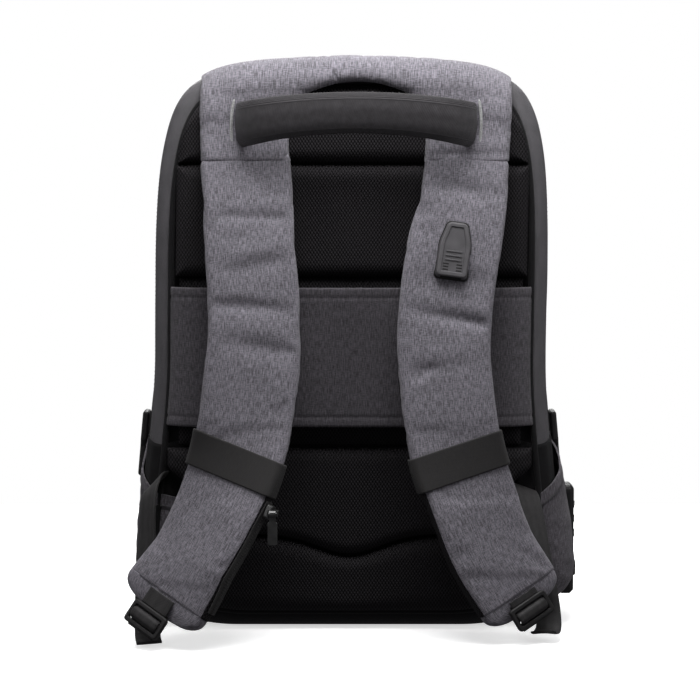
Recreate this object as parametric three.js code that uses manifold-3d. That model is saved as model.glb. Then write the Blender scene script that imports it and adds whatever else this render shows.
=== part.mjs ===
// A laptop backpack that stands on its base with the harness side at -Y. Millimetres, +X to the viewer's
// right when facing the harness, +Y towards the front of the bag, +Z up, origin in the middle of the base.
import * as THREE from "three";
import { mergeVertices } from "three/addons/utils/BufferGeometryUtils.js";
import Module from "manifold-3d";

const wasm = await Module();
wasm.setup();

// Driving dimensions of the sewn shell
const HEIGHT = 446.5;
const CROWN = 1.5;
const SIDE_HALF = 157.5;
const BASE_HALF = 169;
const HIP = { low: 55, high: 220 };
const SHOULDER_Z = 273;
const SHOULDER_POWER = { across: 2 / 9, up: 2 / 3 };
const CORNER = { across: 78, up: 42 };
const SIDE_LEAN = 4.5;
const WALL = 2.5;
const GAP = 0.3;
const REAR = { y: -62, depth: 15, inset: 12.5, drop: 0, lean: 0 };
const MIDDLE = { y: 4, inset: -1, drop: 8, lean: 10 };
const FRONT = { y: 72, depth: 22, inset: 20, drop: 22, lean: 30, dome: 13 };

// Back face
const BOARD_THICK = 3;
const CUSHION_THICK = 12;
const SEAM_Z = { top: 373.6, upper: 284.2, middle: 147.6 };
const VEE = { low: 60, rise: 16, spread: 36 };
const BAND = { low: 165, high: 276, thick: 3.5, bow: 19, anchor: 3.8 };

// Harness
const STRAP_EDGE = 4.5;
const YOKE_THICK = 9;
const TIP_LENGTH = 15;
const STRAP_BAND = { share: 0.672, width: 28, thick: 1.4 };
const HANDLE = { half: 93, aside: 1.9, z: 403.4, rise: 9.2, reach: 33, width: 37, waist: 3, thick: 4 };
const WEBBING = { width: 25, thick: 1.8 };
const LADDER = { width: 34, length: 19, thick: 4.5, bar: 3.5, slot: 4 };
const USB = { share: 0.2, length: 44, width: 28, thick: 8, socket: { width: 12.6, high: 5.2, deep: 15 } };
const ZIP = { width: 10, thick: 1.5, from: 0.724, to: 0.975 };
const SLIDER = { share: 0.743, width: 8, length: 11, thick: 5, pin: 1.2, ear: 1.2, reach: 9.6, aside: 2.4 };
const PULL = { width: 7.5, neck: 5, length: 27, thick: 1.6, hole: 1.8, eye: 2.9, grip: 6 };

// Sides
const BUCKLE = { width: 30, length: 54, thick: 5.5, z: 140 };
const SIDE_STRAP = { y: 24, low: 110, high: 194, bow: 2 };
const LOCK = { y: 22, z: 60, seat: 174.5, length: 92, width: 28, thick: 13, round: 3, foot: 46 };
const DIAL = { radius: 5.6, bore: 1.7, thick: 6, pitch: 12, first: 88, proud: 1.6, sides: 20 };
const BUTTON = { z: 35, width: 11, length: 13, proud: 2.2, deep: 4, travel: 4 };

const SIDES = { left: -1, right: 1 };
const degrees = Math.PI / 180;
const vector = (x, y, z) => new THREE.Vector3(x, y, z);
const mix = THREE.MathUtils.lerp;

// Evenly spaced numbers from one value to another, both ends included.
function span(from, to, steps) {
  return Array.from({ length: steps + 1 }, (_, i) => mix(from, to, i / steps));
}

// The slight sideways settle of the whole bag, none at the base and most at the top.
function settle(point) {
  return point.clone().setX(point.x + SIDE_LEAN * (point.z / HEIGHT) ** 2);
}

// Six times the signed volume of an indexed triangle list, positive where its faces point out.
function signedVolume(points, faces) {
  let sum = 0;
  for (let i = 0; i < faces.length; i += 3) {
    const [a, b, c] = [points[faces[i]], points[faces[i + 1]], points[faces[i + 2]]];
    sum += a.dot(b.clone().cross(c));
  }
  return sum;
}

// A closed solid through rings of equal, even count: quads between neighbouring rings, and a ladder of
// quads across each end ring, or no ends where the rings close on themselves.
function loft(rings, closed = false) {
  const count = rings[0].length;
  const points = rings.flat().map(settle);
  const faces = [];
  const quad = (a, b, c, d) => faces.push(a, b, c, a, c, d);
  const last = closed ? rings.length : rings.length - 1;
  for (let r = 0; r < last; r += 1) {
    const here = r * count;
    const next = ((r + 1) % rings.length) * count;
    for (let i = 0; i < count; i += 1) {
      const j = (i + 1) % count;
      quad(here + i, here + j, next + j, next + i);
    }
  }
  if (!closed) {
    const end = (rings.length - 1) * count;
    for (let i = 0; i < count / 2 - 1; i += 1) {
      const [a, b, c, d] = [i, i + 1, count - 2 - i, count - 1 - i];
      quad(d, c, b, a);
      quad(end + a, end + b, end + c, end + d);
    }
  }
  if (signedVolume(points, faces) < 0) {
    faces.reverse();
  }
  const geometry = new THREE.BufferGeometry().setFromPoints(points);
  geometry.setIndex(faces);
  return geometry;
}

// A solid for joining and cutting, from any closed geometry placed by a matrix.
function solid(geometry, matrix = new THREE.Matrix4()) {
  const bare = geometry.clone().applyMatrix4(matrix);
  bare.deleteAttribute("normal");
  bare.deleteAttribute("uv");
  const merged = mergeVertices(bare, 1e-4);
  return new wasm.Manifold(new wasm.Mesh({
    numProp: 3,
    vertProperties: Float32Array.from(merged.attributes.position.array),
    triVerts: Uint32Array.from(merged.index.array),
  }));
}

// The geometry of a joined or cut solid.
function surface(manifold) {
  const mesh = manifold.getMesh();
  const geometry = new THREE.BufferGeometry();
  geometry.setAttribute("position", new THREE.BufferAttribute(mesh.vertProperties, 3));
  geometry.setIndex(new THREE.BufferAttribute(mesh.triVerts, 1));
  return geometry;
}

const at = (x, y, z) => new THREE.Matrix4().makeTranslation(x, y, z);

// A place and turn as a matrix: the geometry's own X, Y and Z go to the three directions.
function placed(place, xTo, yTo, zTo) {
  return new THREE.Matrix4().makeBasis(xTo, yTo, zTo).setPosition(place);
}

// A rectangle with rounded corners, centred on the origin.
function roundedRectangle(width, height, radius, Kind = THREE.Shape) {
  const [a, b] = [width / 2, height / 2];
  const shape = new Kind();
  shape.moveTo(-a + radius, -b);
  shape.lineTo(a - radius, -b);
  shape.quadraticCurveTo(a, -b, a, -b + radius);
  shape.lineTo(a, b - radius);
  shape.quadraticCurveTo(a, b, a - radius, b);
  shape.lineTo(-a + radius, b);
  shape.quadraticCurveTo(-a, b, -a, b - radius);
  shape.lineTo(-a, -b + radius);
  shape.quadraticCurveTo(-a, -b, -a + radius, -b);
  return shape;
}

// A round hole.
function roundHole(radius, sides) {
  const turns = span(0, 360 * degrees, sides).slice(0, -1);
  return new THREE.Path(turns.map((a) => new THREE.Vector2(radius * Math.cos(a), radius * Math.sin(a))));
}

// A moulded plate: an outline of the given thickness with its edges eased, from z = 0 upwards.
function plate(shape, thick, ease = 0.6, curveSegments = 4) {
  const geometry = new THREE.ExtrudeGeometry(shape, {
    depth: thick - 2 * ease,
    bevelThickness: ease,
    bevelSize: ease,
    bevelOffset: -ease,
    bevelSegments: 1,
    curveSegments,
  });
  return geometry.translate(0, 0, ease);
}

// The shell

// Half the width of the bag's outline at a height between the base corner and the shoulder.
function halfWidth(z, inset) {
  const share = THREE.MathUtils.smoothstep(z, HIP.low, HIP.high);
  return mix(BASE_HALF, SIDE_HALF, share) - inset;
}

// A point of the outline at one depth. The parameter p runs from the middle of the base (0) through the
// right corner (1 to 2), side (2 to 3) and shoulder (3 to 4) to the middle of the top, then back down the
// left side to 8. Negative values go up the left side from the base.
function outlinePoint({ y, inset, drop, lean }, p) {
  const mirrored = p < 0 || p > 4;
  const q = p > 4 ? 8 - p : Math.abs(p);
  const base = Math.max(0, inset);
  let [x, z] = [0, base];
  if (q < 1) {
    x = q * (halfWidth(0, inset) - CORNER.across);
  } else if (q < 2) {
    const turn = (q - 1) * 90 * degrees;
    x = halfWidth(0, inset) - CORNER.across * (1 - Math.sin(turn));
    z = base + CORNER.up * (1 - Math.cos(turn));
  } else if (q < 3) {
    z = mix(base + CORNER.up, SHOULDER_Z, q - 2);
    x = halfWidth(z, inset);
  } else {
    const turn = (q - 3) * 90 * degrees;
    const half = SIDE_HALF - inset;
    x = half * Math.max(0, Math.cos(turn)) ** SHOULDER_POWER.across;
    const rise = HEIGHT - inset - drop - SHOULDER_Z;
    z = SHOULDER_Z + rise * Math.sin(turn) ** SHOULDER_POWER.up + CROWN * (1 - (x / half) ** 2);
  }
  if (q > 3.999) {
    x = 0;
  }
  return vector(mirrored ? -x : x, y - (lean * z) / HEIGHT, z);
}

// Rows of the shell from the rear seam to the front seam. Each has its outward direction as a sideways
// share (out) and a depth share (back), so that the inner face can be laid inside it.
const rearRow = (turn) => ({
  ...REAR,
  y: REAR.y + REAR.depth * (1 - Math.cos(turn)),
  inset: REAR.inset * (1 - Math.sin(turn)),
  out: Math.sin(turn),
  back: -Math.cos(turn),
});
const frontRow = (turn) => ({
  ...FRONT,
  y: FRONT.y - FRONT.depth * (1 - Math.cos(turn)),
  inset: FRONT.inset * (1 - Math.sin(turn)),
  out: Math.sin(turn),
  back: Math.cos(turn),
});
const SHELL_ROWS = [
  ...[0, 30, 60, 90].map((turn) => rearRow(turn * degrees)),
  { ...MIDDLE, out: 1, back: 0 },
  ...[90, 60, 30, 0].map((turn) => frontRow(turn * degrees)),
];
const inside = (row, wall) => ({
  ...row,
  inset: row.inset + wall * row.out,
  y: row.y - wall * row.back,
});

// The shell's row at a depth between its rear and front rolls.
function shellRowAt(y) {
  const [from, to] = y < MIDDLE.y ? SHELL_ROWS.slice(3, 5) : SHELL_ROWS.slice(4, 6);
  const share = (y - from.y) / (to.y - from.y);
  const between = (key) => mix(from[key], to[key], share);
  return { y, inset: between("inset"), drop: between("drop"), lean: between("lean") };
}

// A point of the right or left side at a height, a distance off one of the shell's rows.
function sidePoint(side, row, z, off) {
  const climb = Math.min(1, (z - Math.max(0, row.inset)) / CORNER.up);
  const tuck = CORNER.across * (1 - Math.sqrt(1 - (1 - climb) ** 2));
  const x = halfWidth(z, row.inset) - tuck + off * (row.out ?? 1);
  return vector(side * x, row.y + off * (row.back ?? 0), z);
}

// A stretch of the shell's wall between outline stations.
function shellStretch(stations) {
  return loft(stations.map((p) => [
    ...SHELL_ROWS.map((row) => outlinePoint(row, p)),
    ...SHELL_ROWS.map((row) => outlinePoint(inside(row, WALL), p)).reverse(),
  ]));
}

const CORNER_STATIONS = [1, 1.17, 1.33, 1.5, 1.67, 1.83, 1.996];
const SIDE_STATIONS = [2.004, ...span(2.1, 2.75, 6), 3, 3.07, 3.17, 3.31, 3.47, 3.606];
const TOP_STATIONS = [3.614, 3.75, 3.86, 3.935];
const mirrorOver = (list, total) => list.map((p) => total - p).reverse();

function gusset(side) {
  return shellStretch(side > 0 ? SIDE_STATIONS : mirrorOver(SIDE_STATIONS, 8));
}

function gussetTop() {
  return shellStretch([...TOP_STATIONS, 4, ...mirrorOver(TOP_STATIONS, 8)]);
}

function basePanel() {
  return shellStretch([...mirrorOver(CORNER_STATIONS, 0), ...CORNER_STATIONS]);
}

// Stations all the way round the outline, for the panels that close the shell.
const LOOP_STATIONS = (() => {
  const half = [0.5, ...CORNER_STATIONS, ...SIDE_STATIONS.slice(1), ...TOP_STATIONS];
  return [...half, ...mirrorOver(half, 8)];
})();

// A panel across the shell: rings shrink from the edge to the middle on the outer face and back on the
// inner face, and bulge(share) pushes each ring outwards along Y.
function panel(row, thick, bulge, shares) {
  const middle = vector(0, row.y - row.lean / 2, HEIGHT / 2);
  const ring = (share, depth) => LOOP_STATIONS.map((p) => {
    const edge = outlinePoint(row, p);
    const point = edge.clone().lerp(middle, 1 - share);
    point.y = mix(row.y - (row.lean * point.z) / HEIGHT, edge.y, share) + depth;
    return point;
  });
  const outer = shares.map((share) => ring(share, bulge(share)));
  const inner = shares.map((share) => ring(share, bulge(share) - thick));
  return loft([...inner.reverse(), ...outer]);
}

function frontPanel() {
  const row = { ...frontRow(0), inset: FRONT.inset + GAP };
  const dome = (share) => FRONT.dome * (1 - share ** 2.4) - 0.1;
  return panel(row, WALL, dome, [1, 0.9, 0.72, 0.45, 0.15]);
}

function backBoard() {
  const row = { ...rearRow(0), inset: REAR.inset + GAP };
  return panel(row, BOARD_THICK, () => BOARD_THICK, [1, 0.5]);
}

// The zip lies on the shell over the top and down both sides, plain and without its hidden sliders.
function mainZip() {
  const reach = [...span(2.62, 3, 3), ...SIDE_STATIONS.filter((p) => p > 3), ...TOP_STATIONS];
  const depths = [-5.5, 0, 5.5].map((across) => MIDDLE.y + across);
  const rows = (out) => depths.map(shellRowAt).map((row) => ({ ...row, inset: row.inset - GAP - out }));
  return loft([...reach, 4, ...mirrorOver(reach, 8)].map((p) => [
    ...rows(1.6).map((row) => outlinePoint(row, p)),
    ...rows(0).map((row) => outlinePoint(row, p)).reverse(),
  ]));
}

// The back face

// The lowest and highest points of the rear seam at a distance from the middle.
function seamReach(x) {
  const row = rearRow(0);
  const height = (p) => outlinePoint(row, p);
  const between = (from, to) => {
    let [near, far] = [from, to];
    for (let i = 0; i < 40; i += 1) {
      const p = (near + far) / 2;
      [near, far] = height(p).x < Math.abs(x) ? [p, far] : [near, p];
    }
    return height(near).z;
  };
  return { low: between(0.001, 2), high: between(3.999, 3) };
}

const vee = (x) => VEE.low + VEE.rise * (1 - Math.exp(-((x / VEE.spread) ** 2)));
const seamLow = (x) => seamReach(x).low + 2;
const seamHigh = (x) => seamReach(x).high - 2;

// Sewn cushions, top to bottom: half width at a height, lower and upper edge over the width, and thickness.
const CUSHIONS = [
  { name: "mesh_top", half: () => 139, low: () => SEAM_Z.top + 1, high: seamHigh, thick: CUSHION_THICK },
  {
    name: "mesh_upper",
    half: () => 140,
    low: () => SEAM_Z.upper,
    high: () => SEAM_Z.top - 1,
    thick: CUSHION_THICK,
  },
  {
    name: "mesh_middle",
    half: () => 137,
    low: () => SEAM_Z.middle + 1,
    high: () => SEAM_Z.upper - 2,
    thick: 5,
  },
  {
    name: "mesh_lower",
    half: wing,
    low: (x) => vee(x) + 1,
    high: () => SEAM_Z.middle - 1,
    thick: CUSHION_THICK,
  },
  { name: "mesh_base", half: () => 127, low: seamLow, high: (x) => vee(x) - 1, thick: CUSHION_THICK },
];

// The lower cushion spreads into wings beside its upper edge.
function wing(z) {
  return mix(127, 146, THREE.MathUtils.smoothstep(z, 112, 134));
}

// One cushion, flat behind and crowned in front, with edges that round down to the board.
function cushion({ half, low, high, thick }) {
  const steps = [-1, -0.985, -0.95, -0.85, -0.6, -0.3, 0, 0.3, 0.6, 0.85, 0.95, 0.985, 1];
  const upright = [0, 0.03, 0.1, 0.3, 0.5, 0.7, 0.9, 0.97, 1];
  const edge = (share) => Math.sqrt(Math.max(0, 1 - Math.abs(share) ** 14));
  const back = REAR.y - GAP;
  return loft(steps.map((u) => {
    const inner = u * half(0);
    const heights = upright.map((v) => mix(low(inner), high(inner), v));
    const face = upright.map((v, i) => {
      const swell = mix(0.3, 1, edge(u) * edge(2 * v - 1));
      return vector(u * half(heights[i]), back - thick * swell, heights[i]);
    });
    return [...face, ...heights.map((z) => vector(u * half(z), back, z)).reverse()];
  }));
}

// The band bows clear of the cushions, so that a case handle passes behind it from bottom to top.
function luggageBand() {
  const stations = [-1, -0.985, -0.95, -0.88, -0.75, -0.5, 0, 0.5, 0.75, 0.88, 0.95, 0.985, 1];
  const levels = [0, 0.5, 1];
  const wall = (u, v, depth) => {
    const z = mix(BAND.low, BAND.high, v);
    const half = halfWidth(z, REAR.inset) - 1;
    const bow = BAND.anchor + (BAND.bow - BAND.anchor) * (1 - Math.abs(u) ** 12);
    return vector(u * half, REAR.y - bow - depth, z);
  };
  return loft(stations.map((u) => [
    ...levels.map((v) => wall(u, v, 0)),
    ...levels.map((v) => wall(u, v, -BAND.thick)).reverse(),
  ]));
}

// The harness

// The yoke's cut, from the foot of one leg to the middle: outer and inner edge, each as a distance from
// the middle and a height measured up the back and on over the top of the bag.
const YOKE_CUT = [
  { outerX: 123, outerH: 374.4, innerX: 53, innerH: 374.4 },
  { outerX: 124, outerH: 398, innerX: 54, innerH: 392 },
  { outerX: 124.5, outerH: 418, innerX: 53.5, innerH: 408.5 },
  { outerX: 124, outerH: 438, innerX: 48, innerH: 420.5 },
  { outerX: 122, outerH: 459, innerX: 40, innerH: 428.5 },
  { outerX: 100, outerH: 474, innerX: 30, innerH: 433 },
  { outerX: 68, outerH: 480, innerX: 18, innerH: 436.5 },
  { outerX: 34, outerH: 482, innerX: 9, innerH: 437.8 },
  { outerX: 0, outerH: 482, innerX: 0, innerH: 438.2 },
];
const YOKE_ROLL = 17;
const YOKE_CLEAR = 2.2;
const YOKE_THIN = 0.45;
const YOKE_SEAT = REAR.y - CUSHION_THICK - 3 * GAP;

// The height of the shell's top at a distance from the middle.
function crownAt(x) {
  const share = Math.min(1, Math.abs(x) / SIDE_HALF);
  const turn = Math.acos(share ** (1 / SHOULDER_POWER.across));
  const rise = (HEIGHT - SHOULDER_Z) * Math.sin(turn) ** SHOULDER_POWER.up;
  return SHOULDER_Z + rise + CROWN * (1 - share ** 2);
}

// A point over the back and top of the bag: h is the height up the back until the roll, and the distance
// along the roll and the top after it. lift is the distance off the surface.
function drape(x, h, lift) {
  const start = crownAt(x) + YOKE_CLEAR - YOKE_ROLL;
  if (h <= start) {
    return vector(x, YOKE_SEAT - lift, h);
  }
  const turn = Math.min(90 * degrees, (h - start) / YOKE_ROLL);
  const along = h - start - turn * YOKE_ROLL;
  const thin = YOKE_THIN * Math.min(1, (x / YOKE_CUT[0].outerX) ** 2) * Math.sin(turn);
  const radius = YOKE_ROLL + lift * (1 - thin);
  const y = YOKE_SEAT + YOKE_ROLL - radius * Math.cos(turn) + along;
  return vector(x, y, start + radius * Math.sin(turn) - along * 0.08);
}

function yoke() {
  const across = [0, 0.06, 0.25, 0.5, 0.75, 0.94, 1];
  const half = YOKE_CUT.map((row) => ({ ...row, side: -1 }));
  const other = YOKE_CUT.slice(0, -1).reverse().map((row) => ({ ...row, side: 1 }));
  return loft([...half, ...other].map(({ side, outerX, outerH, innerX, innerH }) => {
    const point = (share, lift) => drape(side * mix(outerX, innerX, share), mix(outerH, innerH, share), lift);
    const puff = (share) => YOKE_THICK * (0.55 + 0.45 * Math.sqrt(1 - Math.abs(2 * share - 1) ** 8));
    return [
      ...across.map((share) => point(share, puff(share))),
      ...across.map((share) => point(share, 0)).reverse(),
    ];
  }));
}

// The straps' middle lines, yoke to end seam, with width, thickness and outward twist at each station.
const STRAP_LINES = {
  left: [
    { x: -86.5, y: -83, z: 372.7, width: 71, thick: 13, twist: 0 },
    { x: -82.6, y: -90, z: 341, width: 71, thick: 14, twist: 0 },
    { x: -79.4, y: -98, z: 306, width: 71, thick: 14, twist: 0 },
    { x: -76.1, y: -106, z: 254, width: 73, thick: 14, twist: 0 },
    { x: -76.6, y: -111, z: 217, width: 75, thick: 14, twist: 2 },
    { x: -82.4, y: -117, z: 169, width: 75, thick: 14, twist: 8 },
    { x: -88, y: -121, z: 143, width: 75.5, thick: 15, twist: 18 },
    { x: -102, y: -127, z: 105.5, width: 76, thick: 18, twist: 30 },
    { x: -121, y: -133, z: 69, width: 77, thick: 18, twist: 35 },
    { x: -140.5, y: -137, z: 39.5, width: 80, thick: 15, twist: 26 },
  ],
  right: [
    { x: 86.5, y: -83, z: 372.7, width: 71, thick: 13, twist: 0 },
    { x: 85.5, y: -90, z: 341, width: 71, thick: 14, twist: 0 },
    { x: 80.2, y: -98, z: 306, width: 74, thick: 14, twist: 0 },
    { x: 74.4, y: -106, z: 254, width: 74, thick: 14, twist: 0 },
    { x: 74.1, y: -111, z: 217, width: 73, thick: 14, twist: 2 },
    { x: 79.6, y: -116, z: 169, width: 73, thick: 14, twist: 5 },
    { x: 84.9, y: -118, z: 143, width: 73.5, thick: 15, twist: 10 },
    { x: 97.1, y: -120, z: 108.5, width: 73, thick: 17, twist: 18 },
    { x: 112.4, y: -121, z: 71, width: 73, thick: 17, twist: 22 },
    { x: 132, y: -121, z: 38, width: 72, thick: 15, twist: 20 },
  ],
};

// Places along a strap: along runs down it, across points away from the bag's middle, face points out.
function strapGuide(name) {
  const rows = STRAP_LINES[name];
  const side = name === "left" ? -1 : 1;
  const curve = new THREE.CatmullRomCurve3(rows.map(({ x, y, z }) => vector(x, y, z)));
  const value = (key, t) => {
    const place = Math.min(Math.max(t, 0), 1) * (rows.length - 1);
    const row = Math.min(rows.length - 2, Math.floor(place));
    return mix(rows[row][key], rows[row + 1][key], place - row);
  };
  return (share) => {
    const t = curve.getUtoTmapping(Math.min(share, 1));
    const along = curve.getTangent(t);
    const beyond = Math.max(0, share - 1) * curve.getLength();
    const across = vector(side, 0, 0).addScaledVector(along, -side * along.x).normalize();
    const face = along.clone().cross(across).multiplyScalar(side).normalize();
    const twist = value("twist", t) * degrees;
    const turned = across.clone().multiplyScalar(Math.cos(twist)).addScaledVector(face, -Math.sin(twist));
    const facing = face.clone().multiplyScalar(Math.cos(twist)).addScaledVector(across, Math.sin(twist));
    const place = curve.getPoint(t).addScaledVector(along, beyond);
    return {
      place,
      along,
      across: turned,
      face: facing,
      width: value("width", t),
      thick: value("thick", t),
      length: curve.getLength(),
    };
  };
}

const GUIDES = { left: strapGuide("left"), right: strapGuide("right") };

// A point in a strap's own frame, from a place, sideways and towards its face.
function offset(guide, sideways, outwards) {
  return guide.place.clone().addScaledVector(guide.across, sideways).addScaledVector(guide.face, outwards);
}

// The rounded section of a padded strap.
function paddedSection(guide, width, thick, edge = STRAP_EDGE) {
  const [a, b] = [width / 2, thick / 2];
  return [
    [-a, -b + edge], [-a, b - edge], [-a + edge, b], [0, b], [a - edge, b],
    [a, b - edge], [a, -b + edge], [a - edge, -b], [0, -b], [-a + edge, -b],
  ].map(([sideways, outwards]) => offset(guide, sideways, outwards));
}

// The flat section of a web, wide across and thin through.
function flatSection(place, across, face, width, thick) {
  return [[-1, -1], [-1, 1], [1, 1], [1, -1]].map(([u, v]) => place.clone()
    .addScaledVector(across, (u * width) / 2)
    .addScaledVector(face, (v * thick) / 2));
}

// A padded strap, whose head is cut level where the yoke's leg is sewn on.
function strap(name) {
  const section = (guide) => paddedSection(guide, guide.width, guide.thick);
  const first = GUIDES[name](0);
  const level = YOKE_CUT[0].outerH - GAP;
  const cut = (point) => point.addScaledVector(first.along, (level - point.z) / first.along.z);
  const head = section(first).map(cut);
  return loft([head, ...span(0.045, 1, 21).map((share) => section(GUIDES[name](share)))]);
}

// The rounded end beyond the strap's end seam.
function strapTip(name) {
  const reach = TIP_LENGTH / GUIDES[name](1).length;
  const profile = [
    { share: 0.02, narrow: 0, thin: 2 }, { share: 0.35, narrow: 1.5, thin: 2.5 },
    { share: 0.65, narrow: 6, thin: 3.5 }, { share: 0.87, narrow: 14, thin: 5 },
    { share: 1, narrow: 26, thin: 7 },
  ];
  return loft(profile.map(({ share, narrow, thin }) => {
    const guide = GUIDES[name](1 + reach * share);
    const thick = guide.thick - thin;
    return paddedSection(guide, guide.width - 2 * narrow, thick, Math.min(STRAP_EDGE, thick / 3));
  }));
}

// A band sewn round a strap, a thin sleeve.
function strapBand(name) {
  const { share: middle, width } = STRAP_BAND;
  const reach = width / 2 / GUIDES[name](0).length;
  const ring = (share, out) => {
    const guide = GUIDES[name](share);
    return paddedSection(guide, guide.width + 2 * out, guide.thick + 2 * out, STRAP_EDGE + 0.4 * out);
  };
  const [from, to] = [middle - reach, middle + reach];
  const [outer, inner] = [GAP + STRAP_BAND.thick, GAP];
  return loft([
    ring(from, outer), ring(middle, outer), ring(to, outer),
    ring(to, inner), ring(middle, inner), ring(from, inner),
  ], true);
}

// A web that follows a route of points. level gives the direction across its width along the way.
function web(route, width, thick, steps, level = () => vector(1, 0, 0)) {
  const curve = new THREE.CatmullRomCurve3(route);
  return loft(span(0, 1, steps).map((share) => {
    const along = curve.getTangentAt(share);
    const across = level(share);
    across.addScaledVector(along, -across.dot(along)).normalize();
    return flatSection(curve.getPointAt(share), across, along.clone().cross(across), width, thick);
  }));
}

// The grab handle leaves the yoke at both ends and bows away from the bag.
function handle() {
  const { half, aside, z, rise, reach, width, waist, thick } = HANDLE;
  const seat = YOKE_SEAT - YOKE_THICK - GAP - thick / 2;
  const stations = [-1, -0.985, -0.955, -0.9, -0.75, -0.4, 0, 0.4, 0.75, 0.9, 0.955, 0.985, 1];
  const point = (u) => {
    const bow = reach * (1 - Math.abs(u) ** 7) ** 0.8;
    return vector(aside + u * half, seat - bow, z + rise * (1 - u * u));
  };
  return loft(stations.map((u, i) => {
    const along = point(stations[Math.min(i + 1, stations.length - 1)])
      .sub(point(stations[Math.max(i - 1, 0)])).normalize();
    const up = vector(0, 0, 1).addScaledVector(along, -along.z).normalize();
    return flatSection(point(u), up, along.clone().cross(up), width - waist * (1 - u * u), thick);
  }));
}

// Lower ends of the harness: how far each adjuster hangs below its strap's end seam, and the way that its
// web takes from the bag's side seam to the adjuster's lower bar.
const ENDS = {
  left: {
    hang: 23.5,
    way: [
      [-150, -62.5, 120], [-150, -67, 120.3], [-152.5, -78, 120], [-155, -87, 113], [-156.5, -97, 80],
      [-157, -110, 36], [-156, -130, 7], [-155, -141, 3.4],
    ],
  },
  right: {
    hang: 15,
    way: [
      [141, -62.5, 114], [141, -67, 113.8], [143, -76, 108], [147.5, -87, 84], [153, -97, 50],
      [157, -105, 24], [157, -114, 10], [154, -121, 8], [151, -126, 9.5],
    ],
  },
};
const LADDER_LIFT = 9.6;

// A strap's frame at a distance in millimetres beyond its end seam.
function beyondEnd(name, distance) {
  const guide = GUIDES[name];
  return guide(1 + distance / guide(1).length);
}

// The short web from a strap's end seam, over the rounded end, to the top bar of its adjuster.
function endTab(name) {
  const last = ENDS[name].hang - LADDER.length / 2 - GAP;
  return loft(span(0.5, last, 4).map((distance) => {
    const guide = beyondEnd(name, distance);
    const place = offset(guide, 0, guide.thick / 2 + GAP + WEBBING.thick / 2);
    return flatSection(place, guide.across, guide.face, WEBBING.width, WEBBING.thick);
  }));
}

// The strap adjuster: a moulded frame with two slots.
function ladderLock() {
  const { width, length, thick, bar, slot } = LADDER;
  const frame = roundedRectangle(width, length, 3);
  [-1, 1].forEach((side) => {
    const hole = roundedRectangle(width - 2 * bar, slot, 1, THREE.Path);
    const shift = (side * (bar + slot)) / 2;
    frame.holes.push(new THREE.Path(hole.getPoints(2).map((p) => new THREE.Vector2(p.x, p.y + shift))));
  });
  return plate(frame, thick, 0.8, 3).translate(0, 0, -thick / 2);
}

function adjuster(name) {
  const route = ENDS[name].way.map(([x, y, z]) => vector(x, y, z));
  return web(route, WEBBING.width - 5, WEBBING.thick, 20);
}

// The charging outlet: a tapered moulding whose socket opens at its lower end.
function usbPort() {
  const { length, width, thick, socket } = USB;
  const [half, top] = [width / 2, width * 0.31];
  const shape = new THREE.Shape();
  shape.moveTo(-half + 2, -length / 2);
  shape.lineTo(half - 2, -length / 2);
  shape.quadraticCurveTo(half, -length / 2, half, -length / 2 + 3);
  shape.lineTo(half - 1.2, length * 0.12);
  shape.lineTo(top, length / 2 - 2);
  shape.quadraticCurveTo(top - 1, length / 2, top - 3, length / 2);
  shape.lineTo(-top + 3, length / 2);
  shape.quadraticCurveTo(-top + 1, length / 2, -top, length / 2 - 2);
  shape.lineTo(-half + 1.2, length * 0.12);
  shape.lineTo(-half, -length / 2 + 3);
  shape.quadraticCurveTo(-half, -length / 2, -half + 2, -length / 2);
  const body = solid(plate(shape, thick, 1.4));
  const mouth = new THREE.BoxGeometry(socket.width, socket.deep * 2, socket.high);
  return surface(body.subtract(solid(mouth, at(0, -length / 2, thick / 2))));
}

// The zip tape on the inner edge of the left strap.
function strapZip() {
  return loft(span(ZIP.from, ZIP.to, 10).map((share) => {
    const guide = GUIDES.left(share);
    const place = offset(guide, -guide.width / 2 - GAP - ZIP.thick / 2, 0);
    return flatSection(place, guide.face, guide.across, ZIP.width, ZIP.thick);
  }));
}

// The slider at the zip's upper end: a body on the tape, and two ears that hold a pin level in front of it.
const SLIDER_GUIDE = GUIDES.left(SLIDER.share);
const SLIDER_OUT = SLIDER_GUIDE.width / 2 + 2 * GAP + ZIP.thick + SLIDER.thick / 2;
const SLIDER_PLACE = settle(offset(SLIDER_GUIDE, -SLIDER_OUT, 0));
const EARS_PLACE = SLIDER_PLACE.clone().add(vector(SLIDER.aside, 0, 0));
const PULL_PIN = EARS_PLACE.clone().add(vector(0, -SLIDER.reach, 0));

function zipSlider() {
  const { width, length, thick, pin, ear, reach } = SLIDER;
  const { along, across, face } = SLIDER_GUIDE;
  const rest = solid(plate(roundedRectangle(width, length, 2), thick), placed(
    SLIDER_PLACE.clone().addScaledVector(across, thick / 2),
    face.clone().negate(),
    along.clone().negate(),
    across.clone().negate(),
  ));
  const gap = PULL.neck / 2 + 2 * GAP;
  const near = EARS_PLACE;
  const bridge = new THREE.BoxGeometry(2 * (gap + ear), 5, 4);
  let body = rest.add(solid(bridge, at(near.x, near.y - 3, near.z)));
  [-1, 1].forEach((side) => {
    const plateGeometry = new THREE.BoxGeometry(ear, reach - 2, 2 * pin + 1.2);
    const middle = near.y - (reach + 4) / 2 - 0.5;
    body = body.add(solid(plateGeometry, at(near.x + side * (gap + ear / 2), middle, near.z)));
  });
  const axle = new THREE.CylinderGeometry(pin, pin, 2 * gap + ear, 12).rotateZ(90 * degrees);
  return surface(body.add(solid(axle, at(PULL_PIN.x, PULL_PIN.y, PULL_PIN.z))));
}

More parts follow.
